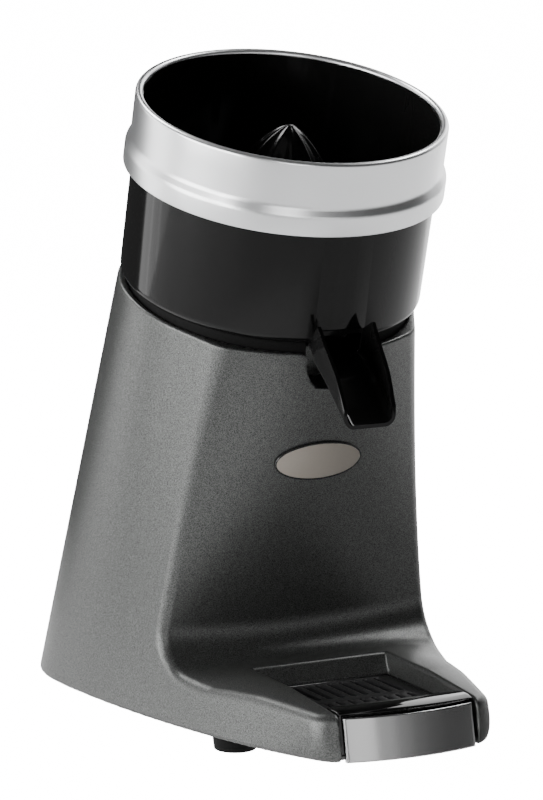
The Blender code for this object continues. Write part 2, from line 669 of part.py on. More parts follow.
def build_rotor(spindle):
    axle = SHAFT_RADIUS
    shaft = [(0.0, SHAFT_TOP), (axle - 1.0 * MM, SHAFT_TOP), (axle, SHAFT_TOP - 1.0 * MM),
             (axle, SHAFT_BOTTOM + 0.6 * MM), (axle - 0.6 * MM, SHAFT_BOTTOM), (0.0, SHAFT_BOTTOM)]
    shaft = turned("motor_shaft", shaft, "stainless", False, 32, spindle)
    boolean(shaft, box("cut_shaft_flat", (-20.0 * MM, SHAFT_FLAT, 262.5 * MM),
                       (20.0 * MM, 20.0 * MM, 300.0 * MM), parent=spindle))
    tube("rotor_core", ROTOR_RADIUS, axle + GAP, STATOR_BOTTOM + 1.0 * MM, STATOR_TOP - 1.0 * MM,
         "lamination", parent=spindle)
    low, high = SHAFT_BOTTOM + 3.0 * MM, MOTOR_BOTTOM - 4.0 * MM
    hub = 14.0 * MM
    outline = []
    for blade in range(FAN_BLADES):
        start = 360.0 * blade / FAN_BLADES
        root, tip = 5.0, 1.8
        outline += arc((0.0, 0.0), hub, start - 360.0 / FAN_BLADES + root, start - root, 3)
        outline += arc((0.0, 0.0), FAN_RADIUS, start - tip, start + tip, 2)
    fan = prism("cooling_fan", outline, low, high, "black_plastic", parent=spindle)
    boolean(fan, cylinder("cut_fan_bore", axle + GAP, 0.0, 200.0 * MM, parent=spindle))


def build_electrics(switch, gland):
    shelf = PLATE_BOTTOM + PLATE_THICKNESS + GAP
    can = [(0.0, 48.0 * MM), (12.5 * MM, 48.0 * MM), (14.5 * MM, 46.0 * MM), (14.5 * MM, 1.5 * MM),
           (13.0 * MM, 0.0), (0.0, 0.0)]
    turned("run_capacitor", can, "capacitor", False, 32, location=(34.0 * MM, 92.0 * MM, shelf))
    block = box("terminal_block", (-18.0 * MM, -8.0 * MM, 0.0), (18.0 * MM, 8.0 * MM, 17.0 * MM),
                "terminal", location=(-30.0 * MM, 92.0 * MM, shelf))
    for i in range(4):
        x = (-12.0 + 8.0 * i) * MM
        boolean(block, cylinder(f"cut_terminal_{i + 1}", 2.2 * MM, 6.0 * MM, 30.0 * MM, steps=12,
                                location=(-30.0 * MM + x, 92.0 * MM, shelf)))

    wall_y, lean = rear_wall(GLAND_Z)
    reach = (-PANEL_Y - wall_y - GLAND_TIP_RADIUS * sin(lean)) / cos(lean)
    gland_body = [(3.6 * MM, reach), (GLAND_TIP_RADIUS, reach), (9.5 * MM, reach - 3.0 * MM),
                  (11.0 * MM, 4.0 * MM), (11.0 * MM, 1.2 * MM), (8.0 * MM, 1.2 * MM), (8.0 * MM, -14.0 * MM),
                  (3.6 * MM, -14.0 * MM)]
    turned("cord_gland", gland_body, "black_plastic", steps=24, parent=gland)

    width, height, depth = SWITCH_FLANGE
    seat = 1.1 * MM
    body = box("power_switch_body", (-width / 2, -height / 2, seat), (width / 2, height / 2, seat + depth),
               "black_plastic", parent=switch)
    stem = box("add_switch_stem", (-9.2 * MM, -13.2 * MM, -18.0 * MM), (9.2 * MM, 13.2 * MM, seat + 0.5 * MM),
               parent=switch)
    boolean(body, stem, "UNION")
    opening = box("cut_switch_body", (-6.8 * MM, -11.0 * MM, -7.0 * MM), (6.8 * MM, 11.0 * MM, 9.0 * MM),
                  parent=switch)
    boolean(body, opening)

    # rocker: a shallow V whose lower half is pressed in at rest
    pivot = seat + depth - 3.2 * MM
    half_w, half_l = ROCKER_SIZE[0] / 2, ROCKER_SIZE[1] / 2
    wings = [(-half_l, 3.4 * MM), (0.0, 2.3 * MM), (half_l, 3.4 * MM), (half_l, 0.2 * MM),
             (3.2 * MM, -4.6 * MM), (-3.2 * MM, -4.6 * MM), (-half_l, 0.2 * MM)]
    rocker = prism("power_rocker", wings, -half_w, half_w, "black_gloss", axis="X", parent=switch,
                   location=(0.0, 0.0, pivot))
    rocker.rotation_euler = (-ROCKER_ANGLE, 0.0, 0.0)


# ---------------------------------------------------------------- bowl stack

def spout_section(v_top, h_top, v_low, h_low, half, thickness, over):
    """U section of the spout; thickness draws it in, over raises its open top."""
    half = half - thickness
    corner = max(SPOUT_CORNER - thickness, 1.0 * MM)
    low = h_low + thickness
    top = h_top + over
    side = arc((-half + corner, low + corner), corner, 180.0, 270.0, 6)
    loop = [(-half, top)] + side + [(-x, h) for x, h in reversed(side)] + [(half, top)]
    points = []
    for x, h in loop:
        share = (h - h_low) / (h_top - h_low)
        points.append(Vector((x, v_low + (v_top - v_low) * share, h)))
    return points


def spout_loops(thickness, over, first=0, run_out=0.0):
    """The spout's sections; run_out carries the last one past the tip along the spout."""
    loops = []
    sections = [tuple(value * MM for value in row) for row in SPOUT_SECTIONS[first:]]
    for row in sections:
        loops.append(spout_section(*row, thickness, over))
    if run_out:
        last, before = sections[-1], sections[-2]
        step = Vector((0.0, last[2] - before[2], last[3] - before[3])).normalized() * run_out
        loops.append([point + step for point in loops[-1]])
    return loops


def build_bowl(spindle):
    corner = arc((BOWL_RADIUS - BOWL_CORNER, BOWL_BOTTOM + BOWL_CORNER), BOWL_CORNER, 0.0, -90.0, 4)
    outer = [(0.0, BOWL_TOP), (BOWL_RIM_RADIUS, BOWL_TOP)] + corner + [(0.0, BOWL_BOTTOM)]
    bowl = turned("bowl", outer, "black_gloss", False, 48, spindle)
    boolean(bowl, loft("add_spout", spout_loops(0.0, 0.0), parent=spindle), "UNION")

    floor = BOWL_BOTTOM + 3.0 * MM
    inner_low = BOWL_RADIUS - BOWL_WALL - 2.0 * MM
    inner_high = BOWL_RIM_RADIUS - BOWL_WALL
    round_in = arc((inner_low - 3.0 * MM, floor + 3.0 * MM), 3.0 * MM, 0.0, -90.0, 3)
    cavity = [(0.0, BOWL_TOP + 20.0 * MM), (inner_high, BOWL_TOP + 20.0 * MM),
              (inner_high, LEDGE_H), (inner_low, LEDGE_H)] + round_in
    cavity += [(CHIMNEY_RADIUS + 4.0 * MM, floor), (CHIMNEY_RADIUS, floor + 6.0 * MM),
               (CHIMNEY_RADIUS, CHIMNEY_TOP), (CHIMNEY_BORE, CHIMNEY_TOP), (CHIMNEY_BORE, 200.0 * MM),
               (0.0, 200.0 * MM)]
    boolean(bowl, turned("cut_bowl_inside", cavity, None, False, 48, spindle))

    boolean(bowl, loft("cut_trough", trough_loops(), parent=spindle))
    boolean(bowl, loft("cut_channel", channel_loops(), parent=spindle))


def trough_loops():
    """Gutter that leads from the bowl's floor through its wall, as high as the spout's mouth."""
    root, wall = [tuple(value * MM for value in row) for row in SPOUT_SECTIONS[:2]]
    slope = (wall[3] - root[3]) / (wall[2] - root[2])
    loops = []
    for row, v in ((root, TROUGH_REAR), (wall, wall[2]), (wall, TROUGH_FRONT)):
        drop = slope * (v - wall[2]) if v < wall[2] else 0.0
        section = spout_section(*row, SPOUT_WALL, 10.0 * MM)
        loops.append([Vector((point.x, v, min(point.z + drop, SPOUT_MOUTH_TOP))) for point in section])
    return loops


def channel_loops():
    """Open channel in front of the bowl's wall, carried on past the spout's tip."""
    at_wall, *loops = spout_loops(SPOUT_WALL, 14.0 * MM, first=1, run_out=12.0 * MM)
    start = []
    for a, b in zip(at_wall, loops[0]):
        start.append(a.lerp(b, (CHANNEL_REAR - a.y) / (b.y - a.y)))
    return [start] + loops


def build_ring(spindle):
    sheet = RING_SHEET
    roll = (RING_RADIUS + RING_LIP_RADIUS) / 2.0
    roll_r = (RING_RADIUS - RING_LIP_RADIUS) / 2.0
    centre = (roll, RING_TOP - roll_r)
    outer = arc(centre, roll_r, 180.0, 0.0, 6)
    outer += [(RING_RADIUS - 0.2 * MM, RING_STEP_TOP + 3.0 * MM), (RING_RADIUS, RING_STEP_TOP),
              (RING_RADIUS + 0.8 * MM, RING_STEP_TOP - 2.4 * MM),
              (RING_SKIRT_RADIUS - 0.6 * MM, RING_STEP_FOOT + 1.8 * MM),
              (RING_SKIRT_RADIUS, RING_STEP_FOOT - 0.6 * MM),
              (RING_SKIRT_RADIUS, RING_FOOT + 1.4 * MM), (RING_SKIRT_RADIUS - 0.5 * MM, RING_FOOT + 0.3 * MM),
              (RING_SKIRT_RADIUS - 1.0 * MM, RING_FOOT)]
    skirt_in = RING_SKIRT_RADIUS - sheet - 0.3 * MM
    inner = [(skirt_in, RING_FOOT), (skirt_in, RING_STEP_FOOT - 1.0 * MM),
             (RING_RADIUS - sheet, RING_STEP_TOP - 1.0 * MM), (RING_RADIUS - sheet, centre[1])]
    inner += arc(centre, roll_r - sheet, 45.0, 180.0, 4)
    turned("splash_ring", outer + inner, "satin_aluminium", steps=44, parent=spindle)


def build_strainer(spindle):
    sheet = STRAINER_SHEET
    seat = LEDGE_H + GAP
    floor = STRAINER_FLOOR
    collar_top = floor + 10.0 * MM
    profile = [
        (STRAINER_RADIUS - 2.8 * MM, seat + sheet), (STRAINER_RADIUS, seat + sheet), (STRAINER_RADIUS, seat),
        (STRAINER_RADIUS - 3.6 * MM, seat), (STRAINER_FLOOR_RADIUS + 0.8 * MM, floor),
        (STRAINER_COLLAR, floor), (STRAINER_COLLAR, collar_top), (STRAINER_COLLAR + sheet, collar_top),
        (STRAINER_COLLAR + sheet, floor + sheet), (STRAINER_FLOOR_RADIUS, floor + sheet),
    ]
    strainer = turned("strainer", profile, "stainless", steps=48, parent=spindle)
    bm = bmesh.new()
    for count, inner, outer, half, turn in ((16, 27.0, 39.0, 1.3, 0.0), (16, 45.0, 57.0, 1.7, 11.25)):
        for i in range(count):
            spin = Matrix.Rotation(radians(turn) + 2.0 * pi * i / count, 4, "Z")
            centre = Vector(((inner + outer) / 2.0 * MM, 0.0, floor))
            size = Matrix.Diagonal(((outer - inner) * MM, 2.0 * half * MM, 8.0 * MM, 1.0))
            bmesh.ops.create_cube(bm, size=1.0, matrix=spin @ Matrix.Translation(centre) @ size)
    slots = add_object("cut_strainer_slots", mesh_from(bm, "cut_strainer_slots"), parent=spindle)
    boolean(strainer, slots)


def build_hub(spindle):
    skirt_in = CHIMNEY_RADIUS + 0.8 * MM
    low = CHIMNEY_TOP - 7.0 * MM
    shoulder = CHIMNEY_TOP + 1.0 * MM
    profile = [(0.0, HUB_TOP), (HUB_RADIUS - 1.0 * MM, HUB_TOP), (HUB_RADIUS, HUB_TOP - 1.0 * MM),
               (HUB_RADIUS, shoulder + 3.0 * MM), (HUB_SKIRT_RADIUS, shoulder + 1.2 * MM),
               (HUB_SKIRT_RADIUS, low), (skirt_in, low), (skirt_in, shoulder - 0.4 * MM),
               (0.0, shoulder - 0.4 * MM)]
    hub = turned("drive_hub", profile, "black_plastic", False, 40, spindle)
    bore = cylinder("cut_hub_bore", SHAFT_RADIUS + GAP, 250.0 * MM, SHAFT_TOP + 1.0 * MM, parent=spindle)
    boolean(bore, box("keep_hub_flat", (-20.0 * MM, SHAFT_FLAT + GAP, 262.8 * MM),
                      (20.0 * MM, 20.0 * MM, 300.0 * MM), parent=spindle))
    bore.rotation_euler.z = radians(4.0)
    boolean(hub, bore)
    # two flats on the outside turn the reamer
    for side in (-1.0, 1.0):
        low_x, high_x = sorted((side * 7.6 * MM, side * 20.0 * MM))
        boolean(hub, box(f"cut_hub_flat_{'left' if side < 0 else 'right'}", (low_x, -20.0 * MM, 270.0 * MM),
                         (high_x, 20.0 * MM, 300.0 * MM), parent=spindle))


def build_reamer(spindle):
    """Ribbed dome on a round skirt, hollow below, with a socket for the hub."""
    rows = 10
    columns = REAMER_RIBS * 5
    tall = REAMER_TOP - REAMER_FOOT
    loops = []
    for row in range(rows):
        share = row / (rows - 1) * 0.985
        radius = REAMER_RADIUS * (1.0 - share ** 1.9) ** 0.72
        depth = 0.13 * min(1.0, share * 6.0) * (1.0 - 0.35 * share)
        loop = []
        for i in range(columns):
            angle = 2.0 * pi * i / columns
            groove = 1.0 - depth * (0.5 - 0.5 * cos(REAMER_RIBS * angle)) ** 0.7
            loop.append(Vector((radius * groove * cos(angle), radius * groove * sin(angle),
                                REAMER_FOOT + REAMER_EDGE + (tall - REAMER_EDGE) * share)))
        loops.append(loop)
    skirt = [Vector((p.x, p.y, REAMER_FOOT)) for p in loops[0]]
    reamer = loft("reamer", [skirt] + loops, "black_gloss", parent=spindle)
    hollow = [(0.0, REAMER_FOOT + 7.0 * MM), (15.6 * MM, REAMER_FOOT + 7.0 * MM),
              (REAMER_RADIUS - 5.5 * MM, REAMER_FOOT - 5.0 * MM), (0.0, REAMER_FOOT - 5.0 * MM)]
    boolean(reamer, turned("cut_reamer_skirt", hollow, None, False, parent=spindle))
    socket = cylinder("cut_reamer_socket", HUB_RADIUS + GAP, 250.0 * MM, HUB_TOP + 1.0 * MM, parent=spindle)
    for side in (-1.0, 1.0):
        low_x, high_x = sorted((side * (7.6 * MM + GAP), side * 20.0 * MM))
        boolean(socket, box(f"keep_socket_flat_{'left' if side < 0 else 'right'}",
                            (low_x, -20.0 * MM, 272.6 * MM), (high_x, 20.0 * MM, 300.0 * MM), parent=spindle))
    boolean(reamer, socket)


def build_gasket(spindle):
    top = BOWL_BOTTOM - GAP
    low = DECK_TOP + GAP
    reach = SEAT_RADIUS - GAP
    profile = [(60.0 * MM, top), (reach - 2.5 * MM, top), (reach - 1.5 * MM, RIM_TOP),
               (reach, low + 1.5 * MM), (reach, low), (60.0 * MM, low)]
    gasket = turned("bowl_seat_gasket", profile, "rubber", steps=48, parent=spindle)
    boolean(gasket, prism("cut_gasket_notch", notch_outline(1.0 * MM), -100.0 * MM, NOTCH_REAR + 2.0 * MM,
                          axis="Y", parent=spindle))


# ---------------------------------------------------------------- drip tray

def panel_y(x, z):
    """Front surface of the tray's panel: bowed in plan and leaning back as it rises."""
    bulge = PANEL_PLAN_RADIUS - sqrt(PANEL_PLAN_RADIUS ** 2 - x * x)
    return PANEL_Y + bulge + (z - PANEL_FOOT) * PANEL_LEAN


def panel_strip(half, z, front, back):
    """Loop of a strip behind the panel's surface, from front to back of it."""
    xs = [half * (-1.0 + i / 6) for i in range(13)]
    near = [Vector((x, panel_y(x, z) + front, z)) for x in xs]
    return near + [Vector((x, panel_y(x, z) + back, z)) for x in reversed(xs)]


def tray_front(half, z, front, rear_y):
    xs = [half * (-1.0 + i / 6) for i in range(13)]
    near = [Vector((x, panel_y(x, z) + front, z)) for x in xs]
    return near + [Vector((x, rear_y, z)) for x in reversed(xs)]


def build_tray():
    low = WELL_FLOOR + 0.4 * MM
    rear = WELL_REAR_FOOT - 0.6 * MM
    tray = box("drip_tray", (-TRAY_HALF, -135.0 * MM, low), (TRAY_HALF, rear, TRAY_SIDE_TOP), "black_plastic")
    behind = PANEL_THICKNESS + GAP
    rear_y = LEDGE_REAR
    block = loft("add_tray_front", [
        tray_front(TRAY_HALF, low, behind, rear_y),
        tray_front(TRAY_HALF, PANEL_TOP - 1.0 * MM, behind, rear_y),
        tray_front(TRAY_HALF, PANEL_TOP + 0.4 * MM, 0.8 * MM, rear_y),
        tray_front(TRAY_HALF, TRAY_FRONT_TOP, 5.5 * MM, rear_y),
    ])
    boolean(tray, block, "UNION")
    skin = TRAY_SKIN
    ledge = GRID_TOP - GRID_THICKNESS - GAP
    boolean(tray, box("cut_tray_upper", (-TRAY_HALF + skin, LEDGE_REAR + skin, ledge),
                      (TRAY_HALF - skin, rear - skin, 60.0 * MM)))
    boolean(tray, box("cut_tray_lower", (-TRAY_HALF + 2 * skin, LEDGE_REAR + 2 * skin, low + skin),
                      (TRAY_HALF - 2 * skin, rear - 2 * skin, 50.0 * MM)))

    loft("tray_panel", [
        panel_strip(PANEL_HALF, PANEL_FOOT, 0.0, PANEL_THICKNESS),
        panel_strip(PANEL_HALF, PANEL_TOP - 1.4 * MM, 0.0, PANEL_THICKNESS),
    ], "black_gloss")

    edge = TRAY_HALF - skin - 0.4 * MM
    grid = box("tray_grid", (-edge, LEDGE_REAR + skin + 0.4 * MM, GRID_TOP - GRID_THICKNESS),
               (edge, rear - skin - 0.4 * MM, GRID_TOP), "black_plastic")
    bm = bmesh.new()
    for row in range(2):
        for i in range(9):
            centre = Vector(((-28.0 + 7.0 * i) * MM, (-74.5 - 36.0 * row) * MM, GRID_TOP))
            size = Matrix.Diagonal((3.4 * MM, 30.0 * MM, 12.0 * MM, 1.0))
            bmesh.ops.create_cube(bm, size=1.0, matrix=Matrix.Translation(centre) @ size)
    boolean(grid, add_object("cut_grid_slots", mesh_from(bm, "cut_grid_slots")))


def main():
    spindle = spindle_empty()
    switch = rear_frame("switch_axis", SWITCH_Z)
    gland = rear_frame("gland_axis", GLAND_Z)
    build_housing(spindle, switch, gland)
    build_badge()
    build_underside()
    build_motor(spindle)
    build_rotor(spindle)
    build_electrics(switch, gland)
    build_gasket(spindle)
    build_bowl(spindle)
    build_ring(spindle)
    build_strainer(spindle)
    build_hub(spindle)
    build_reamer(spindle)
    build_tray()


clear_scene()
PARTS = new_collection("citrus_press_juicer")
CUTTERS = new_collection("cutters")
main()
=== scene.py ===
"""Citrus press juicer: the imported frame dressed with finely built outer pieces, in a plain studio."""

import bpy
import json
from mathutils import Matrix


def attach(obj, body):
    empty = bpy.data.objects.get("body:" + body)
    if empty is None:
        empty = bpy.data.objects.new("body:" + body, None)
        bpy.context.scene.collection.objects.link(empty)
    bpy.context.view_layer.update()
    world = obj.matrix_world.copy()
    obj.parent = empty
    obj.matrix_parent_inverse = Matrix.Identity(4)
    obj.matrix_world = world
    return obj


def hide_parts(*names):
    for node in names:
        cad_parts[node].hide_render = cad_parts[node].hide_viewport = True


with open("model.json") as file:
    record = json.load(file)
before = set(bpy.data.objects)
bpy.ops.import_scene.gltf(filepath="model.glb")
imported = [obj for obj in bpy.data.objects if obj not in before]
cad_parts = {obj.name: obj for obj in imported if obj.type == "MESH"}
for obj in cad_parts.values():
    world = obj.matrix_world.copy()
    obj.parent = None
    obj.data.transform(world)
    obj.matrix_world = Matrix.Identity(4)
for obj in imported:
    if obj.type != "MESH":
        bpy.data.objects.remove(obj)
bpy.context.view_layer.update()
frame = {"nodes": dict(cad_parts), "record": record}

import json
from math import acos, atan2, cos, pi, radians, sin, sqrt, tan

import bmesh
import bpy
import numpy as np
from mathutils import Matrix, Vector

MM = 0.001

# The leaning spindle, in the plane X = 0
LEAN = radians(15.06)
AXIS_Y = 68.8 * MM
GAP = 0.3 * MM

# Casting, in millimetres
# footprint: a rounded rear end, sides that close slowly to the front, and the front's two cheeks
FOOT_Z = 9.0                          # height of the casting's lower edge
FOOT_EDGE = 2.0
REAR_Y = 72.0
HALF_WIDTH = 96.0
REAR_DEPTH = 80.0
REAR_POWER = 2.3
NOSE_LENGTH = 254.8
NOSE_POWER = 1.66
FRONT_Y = -152.3
SIDE_SHORT = 11.0                     # the sides' rulings are counted to this far behind FRONT_Y,
SIDE_BEYOND = 1.12                    # and run on past that by this share
REAR_RULINGS = 46
SIDE_RULINGS = 120
# the wall's outlines are held as radii about WALL_CENTRE, one outline for each WALL_LEVEL of height
WALL_CENTRE = 40.0
WALL_ANGLES = 721
WALL_LEVEL = 2.5
OUTLINE_COUNT = 106
CHEEK_LEAN = 5.0 / 23.7
CHEEK_ROUND = 12.0
# rim, measured across and up the spindle: round at the rear, straighter from RIM_FLAT_FROM on
RIM_TOP = 232.4
RIM_RADIUS = 79.1
RIM_BACK = 2.7
RIM_FLAT_FROM = radians(27.6)
RIM_EASE = 0.0008
RIM_REACH = 150.0
RIM_FAN = (1.0, 1.71, 0.12)           # how fast the rulings' rim ends run ahead of their foot ends
RIM_SLOPE = 1.8 / 88.0                # fall of the rim to the front,
RIM_SLOPE_FROM = 4.0                  # ahead of this place
RIM_ROUND = 1.5
RIM_RAISE = 0.8
WALL = 4.5
DECK_TOP = 229.0
DECK_THICKNESS = 5.0
SEAT_RADIUS = 75.4
SEAT_EDGE = 0.6
SHAFT_HOLE = 19.0
SHAFT_HOLE_FROM = 200.0               # height up the spindle where the hole through the deck starts
# front face, cove and top of the foot
FACE_POINT = (-70.7, 221.4)          # a point of the face, as (y, z)
FACE_SLOPE = 0.2794
FACE_BOW = 0.0055                     # the face's curve across, full at BOW_HIGH and none at BOW_LOW
BOW_LOW = 40.0
BOW_HIGH = 208.0
BASE_REAR = (-50.0, 37.2)             # the foot's top along its middle, as (y, z)
BASE_MIDDLE = (-95.0, 36.9)
BASE_FRONT = (-142.0, 33.5)
BASE_CROWN = 0.0055                   # fall of the foot's top beside the tray
CROWN_FROM = -30.0                    # it begins here and is full after CROWN_RUN
CROWN_RUN = 30.0
COVE_RADIUS = 21.0
RIDGE_ROUND = 4.5                     # edge of the foot's top, up to the height EDGE_FROM,
FACE_EDGE_ROUND = 3.5                 # and the face's edge, EDGE_RUN above that
EDGE_FROM = 45.0
EDGE_RUN = 50.0
# recess for the drip tray
WELL_HALF = 39.5
WELL_FLOOR = 12.5
WELL_FRONT = -145.2
WELL_REAR_FOOT = -54.0
WELL_REAR_TOP = -50.0
WELL_STEP = 27.0                      # its rear wall leans back from this height on,
WELL_LEAN_RISE = 18.0                 # over this rise
WELL_WALL = 3.5
WELL_OPEN = 60.0                      # the cutter's top, above the foot
WELL_EDGE = 1.6
# notch for the spout
NOTCH_HALF = 13.8
NOTCH_BOTTOM = 211.0
NOTCH_REAR = -60.0
NOTCH_WALL = 3.0
NOTCH_EDGE = 0.8
# rear wall fittings
SWITCH_Z = 84.0
SWITCH_PAD = (15.0, 19.0)
SWITCH_HOLE = (9.6, 13.6)
PAD_INWARD = 1.7                      # middle of the switch's pad, inward of the wall
PAD_HALF = 2.5                        # half its thickness
GLAND_Z = 34.0
GLAND_HOLE = 8.4
HOLE_REACH = 15.0                     # the holes' cutters reach this far in and out

# lattice the casting is drawn on
LATTICE_STEP = 1.7                    # spacing across and along,
LATTICE_RISE = 2.1                    # spacing in height,
FINE_FROM = 188.0                     # and from here up, around the sloping rim,
FINE_RISE = 1.2                       # this one
LATTICE_X = 99.0                      # its reach to the side,
LATTICE_Y = 156.0                     # to the front and rear,
LATTICE_Z = (4.0, 250.0)              # and in height
PROBE = 0.25                          # reach of the slope's two samples
SETTLE_STEPS = 4                      # rounds that pull the mesh onto the surface,
SETTLE_REACH = 0.6                    # each by this much at most
# the field grows a little too fast away from these surfaces; the factors bring it back to distance
WALL_SCALE = 0.97
CHEEK_SCALE = 0.98
FACE_SCALE = 0.96

# Bowl and spout
BOWL_RADIUS = 79.7 * MM
BOWL_RIM_RADIUS = 80.3 * MM
BOWL_BOTTOM = 237.2 * MM
BOWL_TOP = 336.6 * MM
BOWL_WALL = 2.5 * MM
BOWL_CORNER = 5.5 * MM
BOWL_RIM_ROUND = 0.6 * MM
BOWL_FLOOR = 3.0 * MM
BOWL_DRAW = 2.0 * MM                  # the bowl is narrower by this below the strainer's ledge
BOWL_EDGE = 0.55 * MM
LEDGE_H = 266.0 * MM
CHIMNEY_RADIUS = 12.0 * MM
CHIMNEY_BORE = 8.5 * MM
CHIMNEY_TOP = 262.0 * MM
SPOUT_WALL = 1.9 * MM
SPOUT_CORNER = 6.0 * MM
SPOUT_CORNER_LEAST = 1.0 * MM
SPOUT_ROW_PARTS = 4                   # rows drawn for each section from the spout's peak on
# root to tip: top edge ahead of the axis and its height, the same of the underside, half width
SPOUT_SECTIONS = (
    (-66.0, 240.0, -66.0, 233.0, 13.8),
    (-78.0, 243.6, -78.0, 230.0, 14.4),
    (-85.3, 251.2, -86.0, 227.6, 16.8),
    (-95.2, 243.2, -97.5, 223.2, 16.4),
    (-107.7, 234.1, -110.5, 216.6, 15.8),
    (-114.6, 226.6, -117.3, 212.8, 15.4),
    (-120.4, 219.6, -122.9, 209.7, 15.0),
)
SPOUT_MOUTH_TOP = 243.2 * MM
TROUGH_REAR = -67.9 * MM
TROUGH_FRONT = -80.8 * MM
CHANNEL_REAR = -80.2 * MM
CHANNEL_RUN_OUT = 12.0 * MM
CUTTER_FOOT = 200.0 * MM              # places well below and above the bowl for its cutters' ends
CUTTER_TOP = BOWL_TOP + 20.0 * MM

# Splash ring
RING_RADIUS = 82.3 * MM
RING_SKIRT_RADIUS = 84.7 * MM
RING_TOP = 339.0 * MM
RING_LIP_RADIUS = 78.2 * MM
RING_STEP_TOP = 315.5 * MM
RING_STEP_FOOT = 308.0 * MM
RING_FOOT = 299.8 * MM
RING_SHEET = 1.2 * MM
RING_PLAY = 0.3 * MM                  # the skirt's inside stands off the sheet's own thickness by this

# Strainer and reamer
STRAINER_RADIUS = 77.0 * MM
STRAINER_SHEET = 1.5 * MM
STRAINER_FLOOR = 252.0 * MM
STRAINER_FLOOR_RADIUS = 62.0 * MM
STRAINER_COLLAR = 20.0 * MM
COLLAR_HEIGHT = 10.0 * MM
# rows of slots: number, inner and outer reach, half width (mm) and turn (degrees)
STRAINER_SLOTS = ((16, 27.0, 39.0, 1.3, 0.0), (16, 45.0, 57.0, 1.7, 11.25))
SLOT_REACH = 4.0 * MM
HUB_RADIUS = 9.0 * MM
HUB_TOP = 290.0 * MM
REAMER_FOOT = 264.5 * MM
REAMER_TOP = 328.0 * MM
REAMER_RADIUS = 34.0 * MM
REAMER_RIBS = 10
REAMER_EDGE = 3.0 * MM                # height of the plain foot below the ribs
REAMER_ROWS = 30
REAMER_TIP = 0.992                    # the dome's rows end at this share of its height
GROOVE_DEPTH = 0.13                   # share of the radius, at the foot
HUB_FLAT = 7.6 * MM                   # from the axis to the hub's flats
HUB_ROUND_TOP = 272.6 * MM            # the hub is round up to here
SOCKET_FOOT = 250.0 * MM

# Gasket under the bowl
GASKET_INSIDE = 60.0 * MM
GASKET_NOTCH = (-100.0 * MM, -58.0 * MM)      # front and rear end of the notch's cutter,
GASKET_CUT_TOP = 262.0 * MM                   # and its top

# Drip tray
TRAY_HALF = 38.9 * MM
TRAY_SIDE_TOP = 26.6 * MM
TRAY_FRONT_TOP = 34.4 * MM
TRAY_SKIN = 2.0 * MM
LEDGE_REAR = -131.0 * MM
TRAY_EDGE = 0.6 * MM
PANEL_HALF = 37.5 * MM
PANEL_FOOT = 9.0 * MM
PANEL_TOP = 32.7 * MM
PANEL_THICKNESS = 2.2 * MM
PANEL_Y = -155.5 * MM
PANEL_PLAN_RADIUS = 137.0 * MM
PANEL_LEAN = 5.0 / 23.7
PANEL_EDGE = 0.4 * MM
GRID_TOP = 26.4 * MM
GRID_THICKNESS = 2.4 * MM
GRID_PLAY = 0.4 * MM
GRID_EDGE = 0.35 * MM
TRAY_CUT_TOP = 50.0 * MM              # the cutters' tops, above the tray
GRID_SLOT = (1.7 * MM, 15.0 * MM)     # half width and half length
GRID_SLOT_X = [(-28.0 + 7.0 * i) * MM for i in range(9)]
GRID_SLOT_Y = (-74.5 * MM, -110.5 * MM)

# Feet and badge
FEET = {
    "front_left": (-58.0 * MM, -66.0 * MM),
    "front_right": (58.0 * MM, -66.0 * MM),
    "rear_left": (-64.0 * MM, 112.0 * MM),
    "rear_right": (64.0 * MM, 112.0 * MM),
}
FOOT_RADIUS = 11.0 * MM
FOOT_TOP = 9.3 * MM
SCREW_RADIUS = 2.3 * MM               # bore for the screw's shank,
HEAD_RADIUS = 4.5 * MM                # and for its head,
HEAD_DEPTH = 5.0 * MM                 # to this height
BADGE_HALF = (25.5 * MM, 10.4 * MM)
BADGE_Z = 144.2 * MM
BADGE_THICKNESS = 1.2 * MM
BADGE_RIM = 0.9 * MM                  # width of the raised rim
BADGE_POINTS = 96


# ---------------------------------------------------------------- finishes

